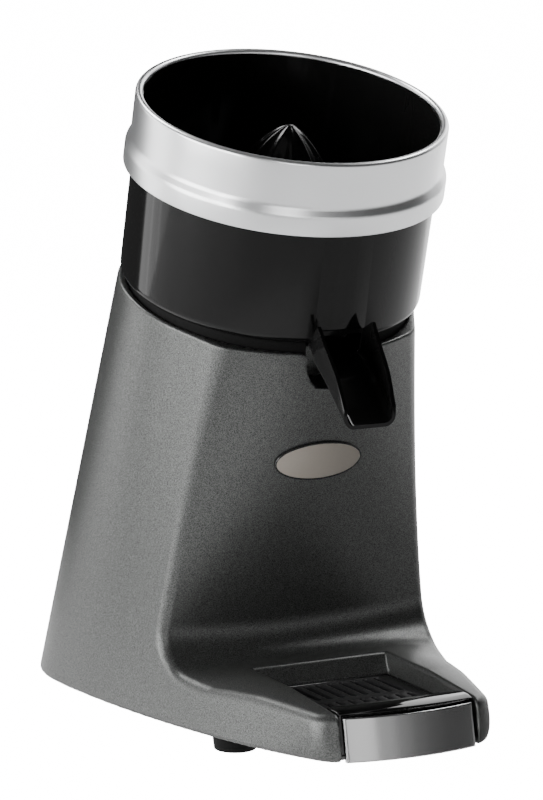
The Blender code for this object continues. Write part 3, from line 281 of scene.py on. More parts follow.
def finish_material(name, colour, roughness, metallic=0.0, grain=0.0, grain_size=1.0 * MM, bump=0.0,
                    gloss=0.5, rough_change=0.03, glow=0.0):
    """Principled finish with a fine grain in colour and surface, and soft clouds in its roughness."""
    made = bpy.data.materials.new(name)
    made.use_nodes = True
    nodes, links = made.node_tree.nodes, made.node_tree.links
    shader = nodes["Principled BSDF"]
    shader.inputs["Metallic"].default_value = metallic
    shader.inputs["Specular IOR Level"].default_value = gloss
    shader.inputs["Emission Color"].default_value = (*colour, 1.0)
    shader.inputs["Emission Strength"].default_value = glow
    place = nodes.new("ShaderNodeTexCoord")

    fine = nodes.new("ShaderNodeTexNoise")
    fine.inputs["Scale"].default_value = 1.0 / grain_size
    fine.inputs["Detail"].default_value = 3.0
    fine.inputs["Roughness"].default_value = 0.6
    links.new(place.outputs["Object"], fine.inputs["Vector"])
    ramp = nodes.new("ShaderNodeValToRGB")
    low, high = ramp.color_ramp.elements
    low.position, high.position = 0.38, 0.62
    low.color = (*[channel * (1.0 - grain) for channel in colour], 1.0)
    high.color = (*[channel * (1.0 + grain) for channel in colour], 1.0)
    links.new(fine.outputs["Fac"], ramp.inputs["Fac"])
    links.new(ramp.outputs["Color"], shader.inputs["Base Color"])

    broad = nodes.new("ShaderNodeTexNoise")
    broad.inputs["Scale"].default_value = 22.0
    broad.inputs["Detail"].default_value = 2.0
    links.new(place.outputs["Object"], broad.inputs["Vector"])
    spread = nodes.new("ShaderNodeMapRange")
    spread.inputs["To Min"].default_value = roughness - rough_change
    spread.inputs["To Max"].default_value = roughness + rough_change
    links.new(broad.outputs["Fac"], spread.inputs["Value"])
    links.new(spread.outputs["Result"], shader.inputs["Roughness"])

    if bump:
        relief = nodes.new("ShaderNodeBump")
        relief.inputs["Strength"].default_value = bump
        relief.inputs["Distance"].default_value = 0.2 * MM
        links.new(fine.outputs["Fac"], relief.inputs["Height"])
        links.new(relief.outputs["Normal"], shader.inputs["Normal"])
    return made


WHITE_GLOW = 16.0

FINISHES = {
    "housing_paint": finish_material("housing_paint", (0.115, 0.118, 0.115), 0.36, 0.6, 0.6, 0.45 * MM, 0.3),
    "bowl_black": finish_material("bowl_black", (0.014, 0.014, 0.014), 0.10, gloss=0.22, rough_change=0.01),
    "reamer_black": finish_material("reamer_black", (0.008, 0.008, 0.008), 0.14, gloss=0.35),
    "tray_black": finish_material("tray_black", (0.006, 0.006, 0.006), 0.07, gloss=0.5, rough_change=0.01),
    "rocker_black": finish_material("rocker_black", (0.014, 0.014, 0.015), 0.2),
    "black_plastic": finish_material("black_plastic", (0.018, 0.018, 0.019), 0.45, grain=0.1, bump=0.2),
    "satin_aluminium": finish_material("satin_aluminium", (0.94, 0.95, 0.96), 0.30, 1.0, 0.01),
    "stainless_steel": finish_material("stainless_steel", (0.60, 0.61, 0.62), 0.22, 1.0, 0.02),
    "bearing_steel": finish_material("bearing_steel", (0.50, 0.51, 0.52), 0.25, 1.0, 0.03),
    "screw_steel": finish_material("screw_steel", (0.42, 0.43, 0.44), 0.35, 1.0, 0.05),
    "steel_sheet": finish_material("steel_sheet", (0.09, 0.09, 0.09), 0.5, 0.2, 0.1, bump=0.1),
    "lamination": finish_material("lamination", (0.20, 0.20, 0.21), 0.5, 0.9, 0.1),
    "cast_aluminium": finish_material("cast_aluminium", (0.55, 0.56, 0.57), 0.5, 1.0, 0.08, bump=0.3),
    "copper_winding": finish_material("copper_winding", (0.72, 0.33, 0.16), 0.35, 1.0, 0.15),
    "capacitor_can": finish_material("capacitor_can", (0.60, 0.60, 0.58), 0.4, 0.6, 0.03),
    "terminal_block": finish_material("terminal_block", (0.80, 0.78, 0.70), 0.5, grain=0.03),
    "rubber": finish_material("rubber", (0.008, 0.008, 0.008), 0.75, grain=0.15, bump=0.3, gloss=0.15),
    "badge_enamel": finish_material("badge_enamel", (0.98, 0.88, 0.76), 0.3, grain=0.01, gloss=1.0),
    "badge_edge": finish_material("badge_edge", (0.03, 0.03, 0.03), 0.25, 0.3),
    "floor": finish_material("floor", (0.95, 0.95, 0.95), 0.6, glow=WHITE_GLOW / 0.95),
    "table": finish_material("table", (0.9, 0.9, 0.9), 0.6, grain=0.01, glow=0.25),
    "panel_gloss": finish_material("panel_gloss", (0.55, 0.55, 0.55), 0.16, 0.9, rough_change=0.01),
}


# ---------------------------------------------------------------- building helpers

# the spindle's own frame: x to the right, v to the rear, h up the axis
SPINDLE = Matrix.Translation((0.0, AXIS_Y, 0.0)) @ Matrix.Rotation(LEAN, 4, "X")


def new_object(name, mesh, finish=None):
    obj = bpy.data.objects.new(name, mesh)
    bpy.context.scene.collection.objects.link(obj)
    if finish:
        mesh.materials.append(FINISHES[finish])
    return obj


def arc(centre, radius, start, end, count):
    """Points on an arc, both ends included; angles in degrees."""
    steps = [radians(start + (end - start) * i / (count - 1)) for i in range(count)]
    return [(centre[0] + radius * cos(a), centre[1] + radius * sin(a)) for a in steps]


def rounded(outline, radii, count=5):
    """Outline whose corners are rounded by the given radii; 0 keeps a corner sharp."""
    points = []
    total = len(outline)
    for i, radius in enumerate(radii):
        corner = Vector(outline[i])
        before = Vector(outline[i - 1]) - corner
        after = Vector(outline[(i + 1) % total]) - corner
        if radius <= 0.0:
            points.append(tuple(corner))
            continue
        first, second = before.normalized(), after.normalized()
        half = acos(max(-1.0, min(1.0, first.dot(second)))) / 2.0
        centre = corner + (first + second).normalized() * (radius / sin(half))
        start = corner + first * (radius / tan(half)) - centre
        end = corner + second * (radius / tan(half)) - centre
        turn = atan2(start.x * end.y - start.y * end.x, start.dot(end))
        for k in range(count):
            angle = turn * k / (count - 1)
            points.append((centre.x + start.x * cos(angle) - start.y * sin(angle),
                           centre.y + start.x * sin(angle) + start.y * cos(angle)))
    return points


def finished_mesh(bm, name, sharp=32.0):
    bmesh.ops.recalc_face_normals(bm, faces=bm.faces)
    mesh = bpy.data.meshes.new(name)
    bm.to_mesh(mesh)
    bm.free()
    mesh.shade_smooth()
    mesh.set_sharp_from_angle(angle=radians(sharp))
    return mesh


def turned(name, profile, finish=None, steps=128, place=SPINDLE, sharp=32.0):
    """Solid of revolution about Z from a closed profile of (radius, height) points."""
    bm = bmesh.new()
    rings = []
    for radius, height in profile:
        if radius < 1e-7:
            rings.append([bm.verts.new((0.0, 0.0, height))])
            continue
        angles = [2.0 * pi * i / steps for i in range(steps)]
        rings.append([bm.verts.new((radius * cos(a), radius * sin(a), height)) for a in angles])
    for ring, following in zip(rings, rings[1:] + rings[:1]):
        if len(ring) == 1 and len(following) == 1:
            continue
        for i in range(steps):
            j = (i + 1) % steps
            corners = [ring[i % len(ring)], ring[j % len(ring)],
                       following[j % len(following)], following[i % len(following)]]
            bm.faces.new(list(dict.fromkeys(corners)))
    bm.transform(place)
    return new_object(name, finished_mesh(bm, name, sharp), finish)


def loft(name, loops, finish=None, place=None, sharp=32.0):
    """Closed solid through loops that all have the same number of points."""
    bm = bmesh.new()
    rows = [[bm.verts.new(point) for point in loop] for loop in loops]
    count = len(rows[0])
    for row, following in zip(rows, rows[1:]):
        for i in range(count):
            j = (i + 1) % count
            bm.faces.new((row[i], row[j], following[j], following[i]))
    bm.faces.new(rows[0])
    bm.faces.new(rows[-1])
    if place:
        bm.transform(place)
    return new_object(name, finished_mesh(bm, name, sharp), finish)


def box(name, low, high, finish=None):
    bm = bmesh.new()
    size = Vector(high) - Vector(low)
    middle = (Vector(high) + Vector(low)) / 2.0
    bmesh.ops.create_cube(bm, size=1.0, matrix=Matrix.Translation(middle) @ Matrix.Diagonal((*size, 1.0)))
    return new_object(name, finished_mesh(bm, name), finish)


def cut(target, cutter, operation="DIFFERENCE", sharp=32.0):
    """Boolean applied at once; the cutter goes."""
    step = target.modifiers.new("cut", "BOOLEAN")
    step.operation = operation
    step.solver = "EXACT"
    step.object = cutter
    bake(target, sharp)
    bpy.data.objects.remove(cutter)


def bake(target, sharp=32.0):
    """Apply the object's modifiers and shade it smooth between its sharp edges."""
    graph = bpy.context.evaluated_depsgraph_get()
    mesh = bpy.data.meshes.new_from_object(target.evaluated_get(graph))
    target.modifiers.clear()
    target.data = mesh
    mesh.shade_smooth()
    mesh.set_sharp_from_angle(angle=radians(sharp))


def soften(target, width, segments=3, sharp=32.0):
    """Round the object's sharp edges."""
    step = target.modifiers.new("soften", "BEVEL")
    step.width = width
    step.segments = segments
    step.limit_method = "ANGLE"
    step.angle_limit = radians(sharp)
    step.use_clamp_overlap = True
    step.harden_normals = False
    bake(target, sharp + 6.0)


# ---------------------------------------------------------------- casting

def rulings_of_wall():
    """Foot and rim ends of the wall's rulings, rear centre to front, on one side, in millimetres."""
    angle = np.radians(np.linspace(90.0, 0.0, REAR_RULINGS)[:-1])
    foot_x = HALF_WIDTH * np.cos(angle) ** (2.0 / REAR_POWER)
    foot_y = REAR_Y + REAR_DEPTH * np.sin(angle) ** (2.0 / REAR_POWER)
    rim_x = RIM_RADIUS * np.cos(angle)
    rim_v = RIM_BACK + RIM_RADIUS * np.sin(angle)

    share = np.linspace(0.0, SIDE_BEYOND, SIDE_RULINGS)
    side_y = REAR_Y - (REAR_Y - FRONT_Y - SIDE_SHORT) * share
    side_x = HALF_WIDTH * np.sqrt(1.0 - ((REAR_Y - side_y) / NOSE_LENGTH) ** NOSE_POWER)
    ahead = RIM_REACH * (RIM_FAN[0] * share + RIM_FAN[1] * share ** 2 + RIM_FAN[2] * share ** 3)
    bend = RIM_RADIUS * sin(RIM_FLAT_FROM)
    past = ahead - bend
    straight = RIM_RADIUS * cos(RIM_FLAT_FROM) - past * tan(RIM_FLAT_FROM) + RIM_EASE * past ** 2
    round_part = np.sqrt(np.maximum(RIM_RADIUS ** 2 - ahead ** 2, 0.0))
    foot_x = np.append(foot_x, side_x)
    foot_y = np.append(foot_y, side_y)
    rim_x = np.append(rim_x, np.where(ahead < bend, round_part, straight))
    rim_v = np.append(rim_v, RIM_BACK - ahead)
    rim_y = AXIS_Y / MM - RIM_TOP * sin(LEAN) + rim_v * cos(LEAN)
    rim_z = RIM_TOP * cos(LEAN) + rim_v * sin(LEAN)
    return foot_x, foot_y, rim_x, rim_y, rim_z


def outline_table():
    """Radius of the wall's outline for each height and angle from the rear."""
    foot_x, foot_y, rim_x, rim_y, rim_z = rulings_of_wall()
    angles = np.linspace(0.0, pi, WALL_ANGLES)
    table = []
    for level in range(OUTLINE_COUNT):
        share = (level * WALL_LEVEL - FOOT_Z) / (rim_z - FOOT_Z)
        x = np.maximum(foot_x + (rim_x - foot_x) * share, 0.01)
        y = foot_y + (rim_y - foot_y) * share - WALL_CENTRE
        angle = np.maximum.accumulate(np.arctan2(x, y))
        table.append(np.interp(angles, angle, np.hypot(x, y)))
    return np.array(table)


def outside_wall(x, y, z, table):
    """Distance outside the wall, negative inside."""
    angle = np.arctan2(np.abs(x), y - WALL_CENTRE) / pi * (WALL_ANGLES - 1)
    level = np.clip(z / WALL_LEVEL, 0.0, OUTLINE_COUNT - 1.001)
    column = np.clip(angle.astype(int), 0, WALL_ANGLES - 2)
    row = level.astype(int)
    across, up = angle - column, level - row
    left = table[row, column] * (1.0 - up) + table[row + 1, column] * up
    right = table[row, column + 1] * (1.0 - up) + table[row + 1, column + 1] * up
    radius = left + (right - left) * across
    turn = (right - left) / (pi / (WALL_ANGLES - 1)) / radius
    return (np.hypot(x, y - WALL_CENTRE) - radius) / np.sqrt(1.0 + np.minimum(turn ** 2, 3.0)) * WALL_SCALE


def both(a, b, radius):
    """Common part of two solids, its outer edge rounded."""
    return (np.minimum(np.maximum(a + radius, b + radius), 0.0)
            + np.hypot(np.maximum(a + radius, 0.0), np.maximum(b + radius, 0.0)) - radius)


def either(a, b, radius):
    """Two solids together, the inner corner between them filled."""
    return -both(-a, -b, radius)


def without(a, b, radius):
    return both(a, -b, radius)


def face_y(x, z):
    """Front face of the casting."""
    share = np.maximum(0.0, (z - BOW_LOW) / (BOW_HIGH - BOW_LOW))
    return FACE_POINT[0] + FACE_SLOPE * (FACE_POINT[1] - z) + FACE_BOW * share * x ** 2


def foot_top(x, y):
    """Height of the top of the casting's foot."""
    places, heights = zip(BASE_REAR, BASE_MIDDLE, BASE_FRONT)
    along = np.interp(-y, [-place for place in places], heights)
    ahead = np.clip((CROWN_FROM - y) / CROWN_RUN, 0.0, 1.0)
    return along - BASE_CROWN * ahead * np.maximum(0.0, np.abs(x) - WELL_HALF) ** 2


def casting(x, y, z, table):
    """Signed distance of the casting, in millimetres; negative inside."""
    side = np.abs(x)
    v = (y - AXIS_Y / MM) * cos(LEAN) + z * sin(LEAN)
    h = z * cos(LEAN) - (y - AXIS_Y / MM) * sin(LEAN)

    cheek = (FRONT_Y + (z - FOOT_Z) * CHEEK_LEAN - y) * CHEEK_SCALE
    outer = both(outside_wall(x, y, z, table), cheek, CHEEK_ROUND)
    front = (face_y(x, z) - y) * FACE_SCALE
    low = z - foot_top(x, y)
    edge = RIDGE_ROUND + (FACE_EDGE_ROUND - RIDGE_ROUND) * np.clip((z - EDGE_FROM) / EDGE_RUN, 0.0, 1.0)
    outer = both(outer, either(front, low, COVE_RADIUS), edge)

    above = h - NOTCH_BOTTOM - NOTCH_HALF
    notch = np.where(h > NOTCH_BOTTOM + NOTCH_HALF, side, np.hypot(x, above)) - NOTCH_HALF
    hollow = np.maximum(outer + WALL, h - DECK_TOP + DECK_THICKNESS)
    within = np.maximum(side - WELL_HALF - WELL_WALL, y - WELL_REAR_TOP - WELL_WALL)
    well_guard = np.maximum(within, z - WELL_OPEN)
    notch_guard = np.maximum(notch - NOTCH_WALL, v - NOTCH_REAR - NOTCH_WALL)
    hollow = np.maximum(hollow, np.maximum(-well_guard, -notch_guard))

    rim = RIM_TOP + RIM_RAISE - RIM_SLOPE * np.maximum(0.0, RIM_SLOPE_FROM - v)
    solid = both(outer, h - rim, RIM_ROUND)
    solid = both(solid, FOOT_Z - z, FOOT_EDGE)
    solid = np.maximum(solid, -hollow)

    rear_lean = (WELL_REAR_TOP - WELL_REAR_FOOT) / (BASE_REAR[1] - WELL_STEP)
    well_rear = y - WELL_REAR_FOOT - rear_lean * np.clip(z - WELL_STEP, 0.0, WELL_LEAN_RISE)
    floor = np.minimum(WELL_FLOOR - z, y - WELL_FRONT)
    well = np.maximum(np.maximum(side - WELL_HALF, well_rear), np.maximum(floor, z - WELL_OPEN))
    solid = without(solid, well, WELL_EDGE)
    seat = np.maximum(np.hypot(x, v) - SEAT_RADIUS, DECK_TOP - h)
    solid = without(solid, seat, SEAT_EDGE)
    solid = without(solid, np.maximum(notch, v - NOTCH_REAR), NOTCH_EDGE)
    solid = np.maximum(solid, -np.maximum(np.hypot(x, v) - SHAFT_HOLE, SHAFT_HOLE_FROM - h))

    out, down = on_rear_wall(y, z, SWITCH_Z)
    pad = np.maximum(side - SWITCH_PAD[0], np.abs(down) - SWITCH_PAD[1])
    solid = np.minimum(solid, np.maximum(pad, np.abs(out + PAD_INWARD) - PAD_HALF))
    hole = np.maximum(side - SWITCH_HOLE[0], np.abs(down) - SWITCH_HOLE[1])
    solid = np.maximum(solid, -np.maximum(hole, np.abs(out) - HOLE_REACH))
    out, down = on_rear_wall(y, z, GLAND_Z)
    return np.maximum(solid, -np.maximum(np.hypot(x, down) - GLAND_HOLE, np.abs(out) - HOLE_REACH))


def on_rear_wall(y, z, height):
    """How far points lie out of the rear wall, and how far down it from a height."""
    foot_y = REAR_Y + REAR_DEPTH
    top_v = RIM_BACK + RIM_RADIUS
    top_y = AXIS_Y / MM - RIM_TOP * sin(LEAN) + top_v * cos(LEAN)
    top_z = RIM_TOP * cos(LEAN) + top_v * sin(LEAN)
    share = (height - FOOT_Z) / (top_z - FOOT_Z)
    y0, lean = foot_y + (top_y - foot_y) * share, atan2(foot_y - top_y, top_z - FOOT_Z)
    out = (y - y0) * cos(lean) + (z - height) * sin(lean)
    down = (y - y0) * sin(lean) - (z - height) * cos(lean)
    return out, down


def surface_of(values):
    """Zero surface of a lattice of distances, in lattice steps: one vertex in each cell it passes through."""
    cells = tuple(n - 1 for n in values.shape)
    shifts = ((0, 0), (0, 1), (1, 0), (1, 1))
    count = np.zeros(cells, np.int16)
    total = np.zeros((*cells, 3), np.float32)
    crossings = []
    for axis in range(3):
        first = np.take(values, range(values.shape[axis] - 1), axis)
        second = np.take(values, range(1, values.shape[axis]), axis)
        crossed = (first < 0) != (second < 0)
        crossings.append((crossed, first < 0))
        where = np.argwhere(crossed)
        a, b = first[crossed], second[crossed]
        place = where.astype(np.float32)
        place[:, axis] += a / (a - b)
        others = [k for k in range(3) if k != axis]
        for shift in shifts:
            cell = where.copy()
            cell[:, others[0]] -= shift[0]
            cell[:, others[1]] -= shift[1]
            kept = np.all((cell >= 0) & (cell < cells), axis=1)
            index = tuple(cell[kept].T)
            np.add.at(count, index, 1)
            np.add.at(total, index, place[kept])
    number = np.full(cells, -1, np.int64)
    used = count > 0
    number[used] = np.arange(used.sum())
    points = total[used] / count[used][:, None]
    quads = []
    for axis, (crossed, inward) in enumerate(crossings):
        others = [k for k in range(3) if k != axis]
        where = np.argwhere(crossed)
        flip = inward[crossed]
        corners = []
        for shift in ((1, 1), (0, 1), (0, 0), (1, 0)):
            cell = where.copy()
            cell[:, others[0]] -= shift[0]
            cell[:, others[1]] -= shift[1]
            corners.append(number[tuple(cell.T)])
        quad = np.stack(corners, 1)
        if axis == 1:
            flip = ~flip
        quad[~flip] = quad[~flip][:, ::-1]
        quads.append(quad)
    return points, np.concatenate(quads)


def slope_of(points, table):
    """Gradient of the casting's distance at each point."""
    slope = np.zeros_like(points)
    for k in range(3):
        shift = np.zeros(3)
        shift[k] = PROBE
        ahead, behind = casting(*(points + shift).T, table), casting(*(points - shift).T, table)
        slope[:, k] = (ahead - behind) / (2 * PROBE)
    return slope


def build_casting():
    """Casting as the zero surface of its distance, with its normals taken from the distance's slope."""
    table = outline_table()
    side = np.arange(0.0, LATTICE_X, LATTICE_STEP)
    along = np.arange(-LATTICE_Y, LATTICE_Y, LATTICE_STEP)
    height = np.concatenate((np.arange(LATTICE_Z[0], FINE_FROM, LATTICE_RISE),
                             np.arange(FINE_FROM, LATTICE_Z[1], FINE_RISE)))
    half = casting(*np.meshgrid(side, along, height, indexing="ij"), table)
    points, quads = surface_of(np.concatenate((half[:0:-1], half), axis=0))
    lattice = (np.concatenate((-side[:0:-1], side)), along, height)
    points = np.stack([np.interp(points[:, k], np.arange(len(lattice[k])), lattice[k]) for k in range(3)], 1)
    for _ in range(SETTLE_STEPS):
        slope = slope_of(points, table)
        square = np.maximum((slope ** 2).sum(1), 0.25)
        move = np.clip(casting(*points.T, table) / square, -SETTLE_REACH, SETTLE_REACH)
        points = points - move[:, None] * slope
    slope = slope_of(points, table)
    slope /= np.maximum(np.linalg.norm(slope, axis=1), 1e-6)[:, None]
    mesh = bpy.data.meshes.new("casting")
    mesh.from_pydata(points * MM, [], quads.tolist())
    mesh.shade_smooth()
    mesh.normals_split_custom_set_from_vertices(slope)
    return new_object("casting", mesh, "housing_paint")


# ---------------------------------------------------------------- bowl, ring and what lies in them

def spout_section(row, thickness, over):
    """U section of the spout; thickness draws it in, over raises its open top."""
    v_top, h_top, v_low, h_low, half = row
    half = half - thickness
    corner = max(SPOUT_CORNER - thickness, SPOUT_CORNER_LEAST)
    low = h_low + thickness
    side = arc((-half + corner, low + corner), corner, 180.0, 270.0, 10)
    loop = [(-half, h_top + over)] + side + [(-x, h) for x, h in reversed(side)] + [(half, h_top + over)]
    return [Vector((x, v_low + (v_top - v_low) * (h - h_low) / (h_top - h_low), h)) for x, h in loop]


def spout_rows():
    return [tuple(value * MM for value in row) for row in SPOUT_SECTIONS]


def finer(rows):
    """Rows with smooth in-between rows after the peak of the spout's side."""
    made = list(rows[:2])
    path = rows[2:]
    for i in range(len(path) - 1):
        a, b, c, d = path[max(i - 1, 0)], path[i], path[i + 1], path[min(i + 2, len(path) - 1)]
        for k in range(SPOUT_ROW_PARTS):
            t = k / SPOUT_ROW_PARTS
            made.append(tuple(0.5 * (2 * q + (r - p) * t + (2 * p - 5 * q + 4 * r - s) * t ** 2
                                     + (3 * q - p - 3 * r + s) * t ** 3) for p, q, r, s in zip(a, b, c, d)))
    made.append(path[-1])
    return made


def build_bowl():
    """Bowl and spout in one piece: the outside, then the inside and the spout's channel cut out of it."""
    outer = [(0.0, BOWL_TOP), (BOWL_RIM_RADIUS, BOWL_TOP), (BOWL_RADIUS, BOWL_BOTTOM), (0.0, BOWL_BOTTOM)]
    bowl = turned("bowl_shell", rounded(outer, (0.0, BOWL_RIM_ROUND, BOWL_CORNER, 0.0), 9), "bowl_black")
    rows = finer(spout_rows())
    cut(bowl, loft("spout", [spout_section(row, 0.0, 0.0) for row in rows], place=SPINDLE), "UNION")

    floor = BOWL_BOTTOM + BOWL_FLOOR
    inner_low = BOWL_RADIUS - BOWL_WALL - BOWL_DRAW
    inner_high = BOWL_RIM_RADIUS - BOWL_WALL
    cavity = rounded([
        (0.0, CUTTER_TOP), (inner_high, CUTTER_TOP), (inner_high, LEDGE_H),
        (inner_low, LEDGE_H), (inner_low, floor), (CHIMNEY_RADIUS + 1.0 * MM, floor),
        (CHIMNEY_RADIUS, CHIMNEY_TOP), (CHIMNEY_BORE, CHIMNEY_TOP), (CHIMNEY_BORE, CUTTER_FOOT),
        (0.0, CUTTER_FOOT)], (0.0, 0.0, 0.8 * MM, 0.0, 3.0 * MM, 5.0 * MM, 0.8 * MM, 0.0, 0.0, 0.0), 6)
    cut(bowl, turned("bowl_inside", cavity))

    root, wall = spout_rows()[:2]
    slope = (wall[3] - root[3]) / (wall[2] - root[2])
    gutter = []
    for row, v in ((root, TROUGH_REAR), (wall, wall[2]), (wall, TROUGH_FRONT)):
        drop = slope * (v - wall[2]) if v < wall[2] else 0.0
        gutter.append([Vector((p.x, v, min(p.z + drop, SPOUT_MOUTH_TOP)))
                       for p in spout_section(row, SPOUT_WALL, 10.0 * MM)])
    cut(bowl, loft("gutter", gutter, place=SPINDLE))
    channel = [spout_section(row, SPOUT_WALL, 14.0 * MM) for row in rows[1:]]
    start = [a.lerp(b, (CHANNEL_REAR - a.y) / (b.y - a.y)) for a, b in zip(channel[0], channel[1])]
    tip, before = rows[-1], rows[-2]
    run_out = Vector((0.0, tip[2] - before[2], tip[3] - before[3])).normalized() * CHANNEL_RUN_OUT
    channel = [start] + channel[1:] + [[point + run_out for point in channel[-1]]]
    cut(bowl, loft("channel", channel, place=SPINDLE))
    soften(bowl, BOWL_EDGE, 3, 40.0)
    return bowl


def build_ring():
    """Ring of sheet with a rolled lip, a bead and a wider skirt."""
    sheet = RING_SHEET
    roll_r = (RING_RADIUS - RING_LIP_RADIUS) / 2.0
    centre = ((RING_RADIUS + RING_LIP_RADIUS) / 2.0, RING_TOP - roll_r)
    skirt_in = RING_SKIRT_RADIUS - sheet - RING_PLAY
    outer = arc(centre, roll_r, 180.0, 0.0, 17)
    step = rounded([
        (RING_RADIUS, RING_STEP_TOP + 12.0 * MM), (RING_RADIUS, RING_STEP_TOP - 1.0 * MM),
        (RING_SKIRT_RADIUS, RING_STEP_FOOT + 2.0 * MM), (RING_SKIRT_RADIUS, RING_FOOT), (skirt_in, RING_FOOT),
        (skirt_in, RING_STEP_FOOT - 1.0 * MM), (RING_RADIUS - sheet, RING_STEP_TOP - 1.0 * MM),
        (RING_RADIUS - sheet, centre[1])],
        (0.0, 6.0 * MM, 6.0 * MM, 0.6 * MM, 0.4 * MM, 3.0 * MM, 3.0 * MM, 0.0), 9)
    inner = arc(centre, roll_r - sheet, 30.0, 180.0, 11)
    return turned("ring_shell", outer + step + inner, "satin_aluminium", 192)


def build_strainer():
    """Dished sheet with a collar and two rows of slots."""
    sheet = STRAINER_SHEET
    seat = LEDGE_H + GAP
    floor = STRAINER_FLOOR
    collar_top = floor + COLLAR_HEIGHT
    profile = rounded([
        (STRAINER_RADIUS - 2.8 * MM, seat + sheet), (STRAINER_RADIUS, seat + sheet), (STRAINER_RADIUS, seat),
        (STRAINER_RADIUS - 3.6 * MM, seat), (STRAINER_FLOOR_RADIUS + 0.8 * MM, floor),
        (STRAINER_COLLAR, floor), (STRAINER_COLLAR, collar_top), (STRAINER_COLLAR + sheet, collar_top),
        (STRAINER_COLLAR + sheet, floor + sheet), (STRAINER_FLOOR_RADIUS, floor + sheet)],
        [radius * MM for radius in (2.0, 0.3, 0.3, 2.0, 3.0, 1.0, 0.4, 0.4, 1.0, 3.0)])
    strainer = turned("strainer_shell", profile, "stainless_steel", 144)
    bm = bmesh.new()
    for count, inner, outer, half, turn in STRAINER_SLOTS:
        for i in range(count):
            spin = Matrix.Rotation(radians(turn) + 2.0 * pi * i / count, 4, "Z")
            rim = (arc((outer - half, 0.0), half, -90.0, 90.0, 7)
                   + arc((inner + half, 0.0), half, 90.0, 270.0, 7))
            rows = [[bm.verts.new(spin @ Vector((x * MM, y * MM, z))) for x, y in rim]
                    for z in (floor - SLOT_REACH, floor + SLOT_REACH)]
            for k in range(len(rim)):
                j = (k + 1) % len(rim)
                bm.faces.new((rows[0][k], rows[0][j], rows[1][j], rows[1][k]))
            bm.faces.new(rows[0])
            bm.faces.new(rows[1])
    bm.transform(SPINDLE)
    cut(strainer, new_object("slots", finished_mesh(bm, "slots")))
    return strainer


def build_reamer():
    """Ribbed dome on a round skirt, hollow below, with a socket for the hub."""
    columns = REAMER_RIBS * 20
    tall = REAMER_TOP - REAMER_FOOT
    loops = []
    for row in range(REAMER_ROWS):
        share = sin(row / (REAMER_ROWS - 1) * pi / 2.0) * REAMER_TIP
        radius = REAMER_RADIUS * (1.0 - share ** 1.9) ** 0.72
        depth = GROOVE_DEPTH * min(1.0, share * 6.0) * (1.0 - 0.35 * share)
        loop = []
        for i in range(columns):
            angle = 2.0 * pi * i / columns
            groove = 1.0 - depth * (0.5 - 0.5 * cos(REAMER_RIBS * angle)) ** 0.7
            loop.append(Vector((radius * groove * cos(angle), radius * groove * sin(angle),
                                REAMER_FOOT + REAMER_EDGE + (tall - REAMER_EDGE) * share)))
        loops.append(loop)
    skirt = [Vector((p.x * 0.985, p.y * 0.985, REAMER_FOOT)) for p in loops[0]]
    edge = [Vector((p.x, p.y, REAMER_FOOT + 0.5 * MM)) for p in loops[0]]
    reamer = loft("reamer_cone", [skirt, edge] + loops, "reamer_black", SPINDLE, 50.0)
    hollow = [(0.0, REAMER_FOOT + 7.0 * MM), (15.6 * MM, REAMER_FOOT + 7.0 * MM),
              (REAMER_RADIUS - 5.5 * MM, REAMER_FOOT - 5.0 * MM), (0.0, REAMER_FOOT - 5.0 * MM)]
    cut(reamer, turned("reamer_skirt", hollow), sharp=50.0)
    reach = HUB_RADIUS + GAP
    turn = acos((HUB_FLAT + GAP) / reach)
    side = [(reach * cos(a), reach * sin(a)) for a in np.linspace(turn, pi - turn, 24)]
    outline = side + [(-x, -y) for x, y in side]
    ends = [[Vector((x, y, z)) for x, y in outline] for z in (SOCKET_FOOT, HUB_TOP + 1.0 * MM)]
    cut(reamer, loft("socket", ends, place=SPINDLE), sharp=50.0)
    wide = [(0.0, HUB_ROUND_TOP), (reach, HUB_ROUND_TOP), (reach, SOCKET_FOOT), (0.0, SOCKET_FOOT)]
    cut(reamer, turned("socket_low", wide, steps=64), sharp=50.0)
    return reamer


def build_gasket():
    """Flat rubber ring between deck and bowl, open at the notch."""
    top = BOWL_BOTTOM - GAP
    low = (DECK_TOP + 0.3) * MM
    reach = (SEAT_RADIUS - 0.3) * MM
    inside = GASKET_INSIDE
    profile = rounded([(inside, top), (reach - 1.5 * MM, top), (reach, low), (inside, low)],
                      (1.0 * MM, 1.2 * MM, 1.0 * MM, 1.0 * MM))
    gasket = turned("seat_gasket", profile, "rubber")
    half = (NOTCH_HALF + 1.0) * MM
    lower = arc((0.0, (NOTCH_BOTTOM + NOTCH_HALF) * MM), half, 180.0, 360.0, 25)
    outline = [(-half, GASKET_CUT_TOP)] + lower + [(half, GASKET_CUT_TOP)]
    ends = [[Vector((x, v, h)) for x, h in outline] for v in GASKET_NOTCH]
    cut(gasket, loft("gasket_notch", ends, place=SPINDLE))
    return gasket


# ---------------------------------------------------------------- tray, feet and badge

def panel_y(x, z):
    """Front surface of the tray's panel: bowed in plan and leaning back as it rises."""
    bulge = PANEL_PLAN_RADIUS - sqrt(PANEL_PLAN_RADIUS ** 2 - x * x)
    return PANEL_Y + bulge + (z - PANEL_FOOT) * PANEL_LEAN


def bowed_loop(half, z, front, back, rear_y=None):
    """Outline at a height, its front bowed like the panel; its back is bowed too, or straight at rear_y."""
    xs = [half * (-1.0 + i / 20) for i in range(41)]
    near = [Vector((x, panel_y(x, z) + front, z)) for x in xs]
    return near + [Vector((x, panel_y(x, z) + back if rear_y is None else rear_y, z)) for x in reversed(xs)]


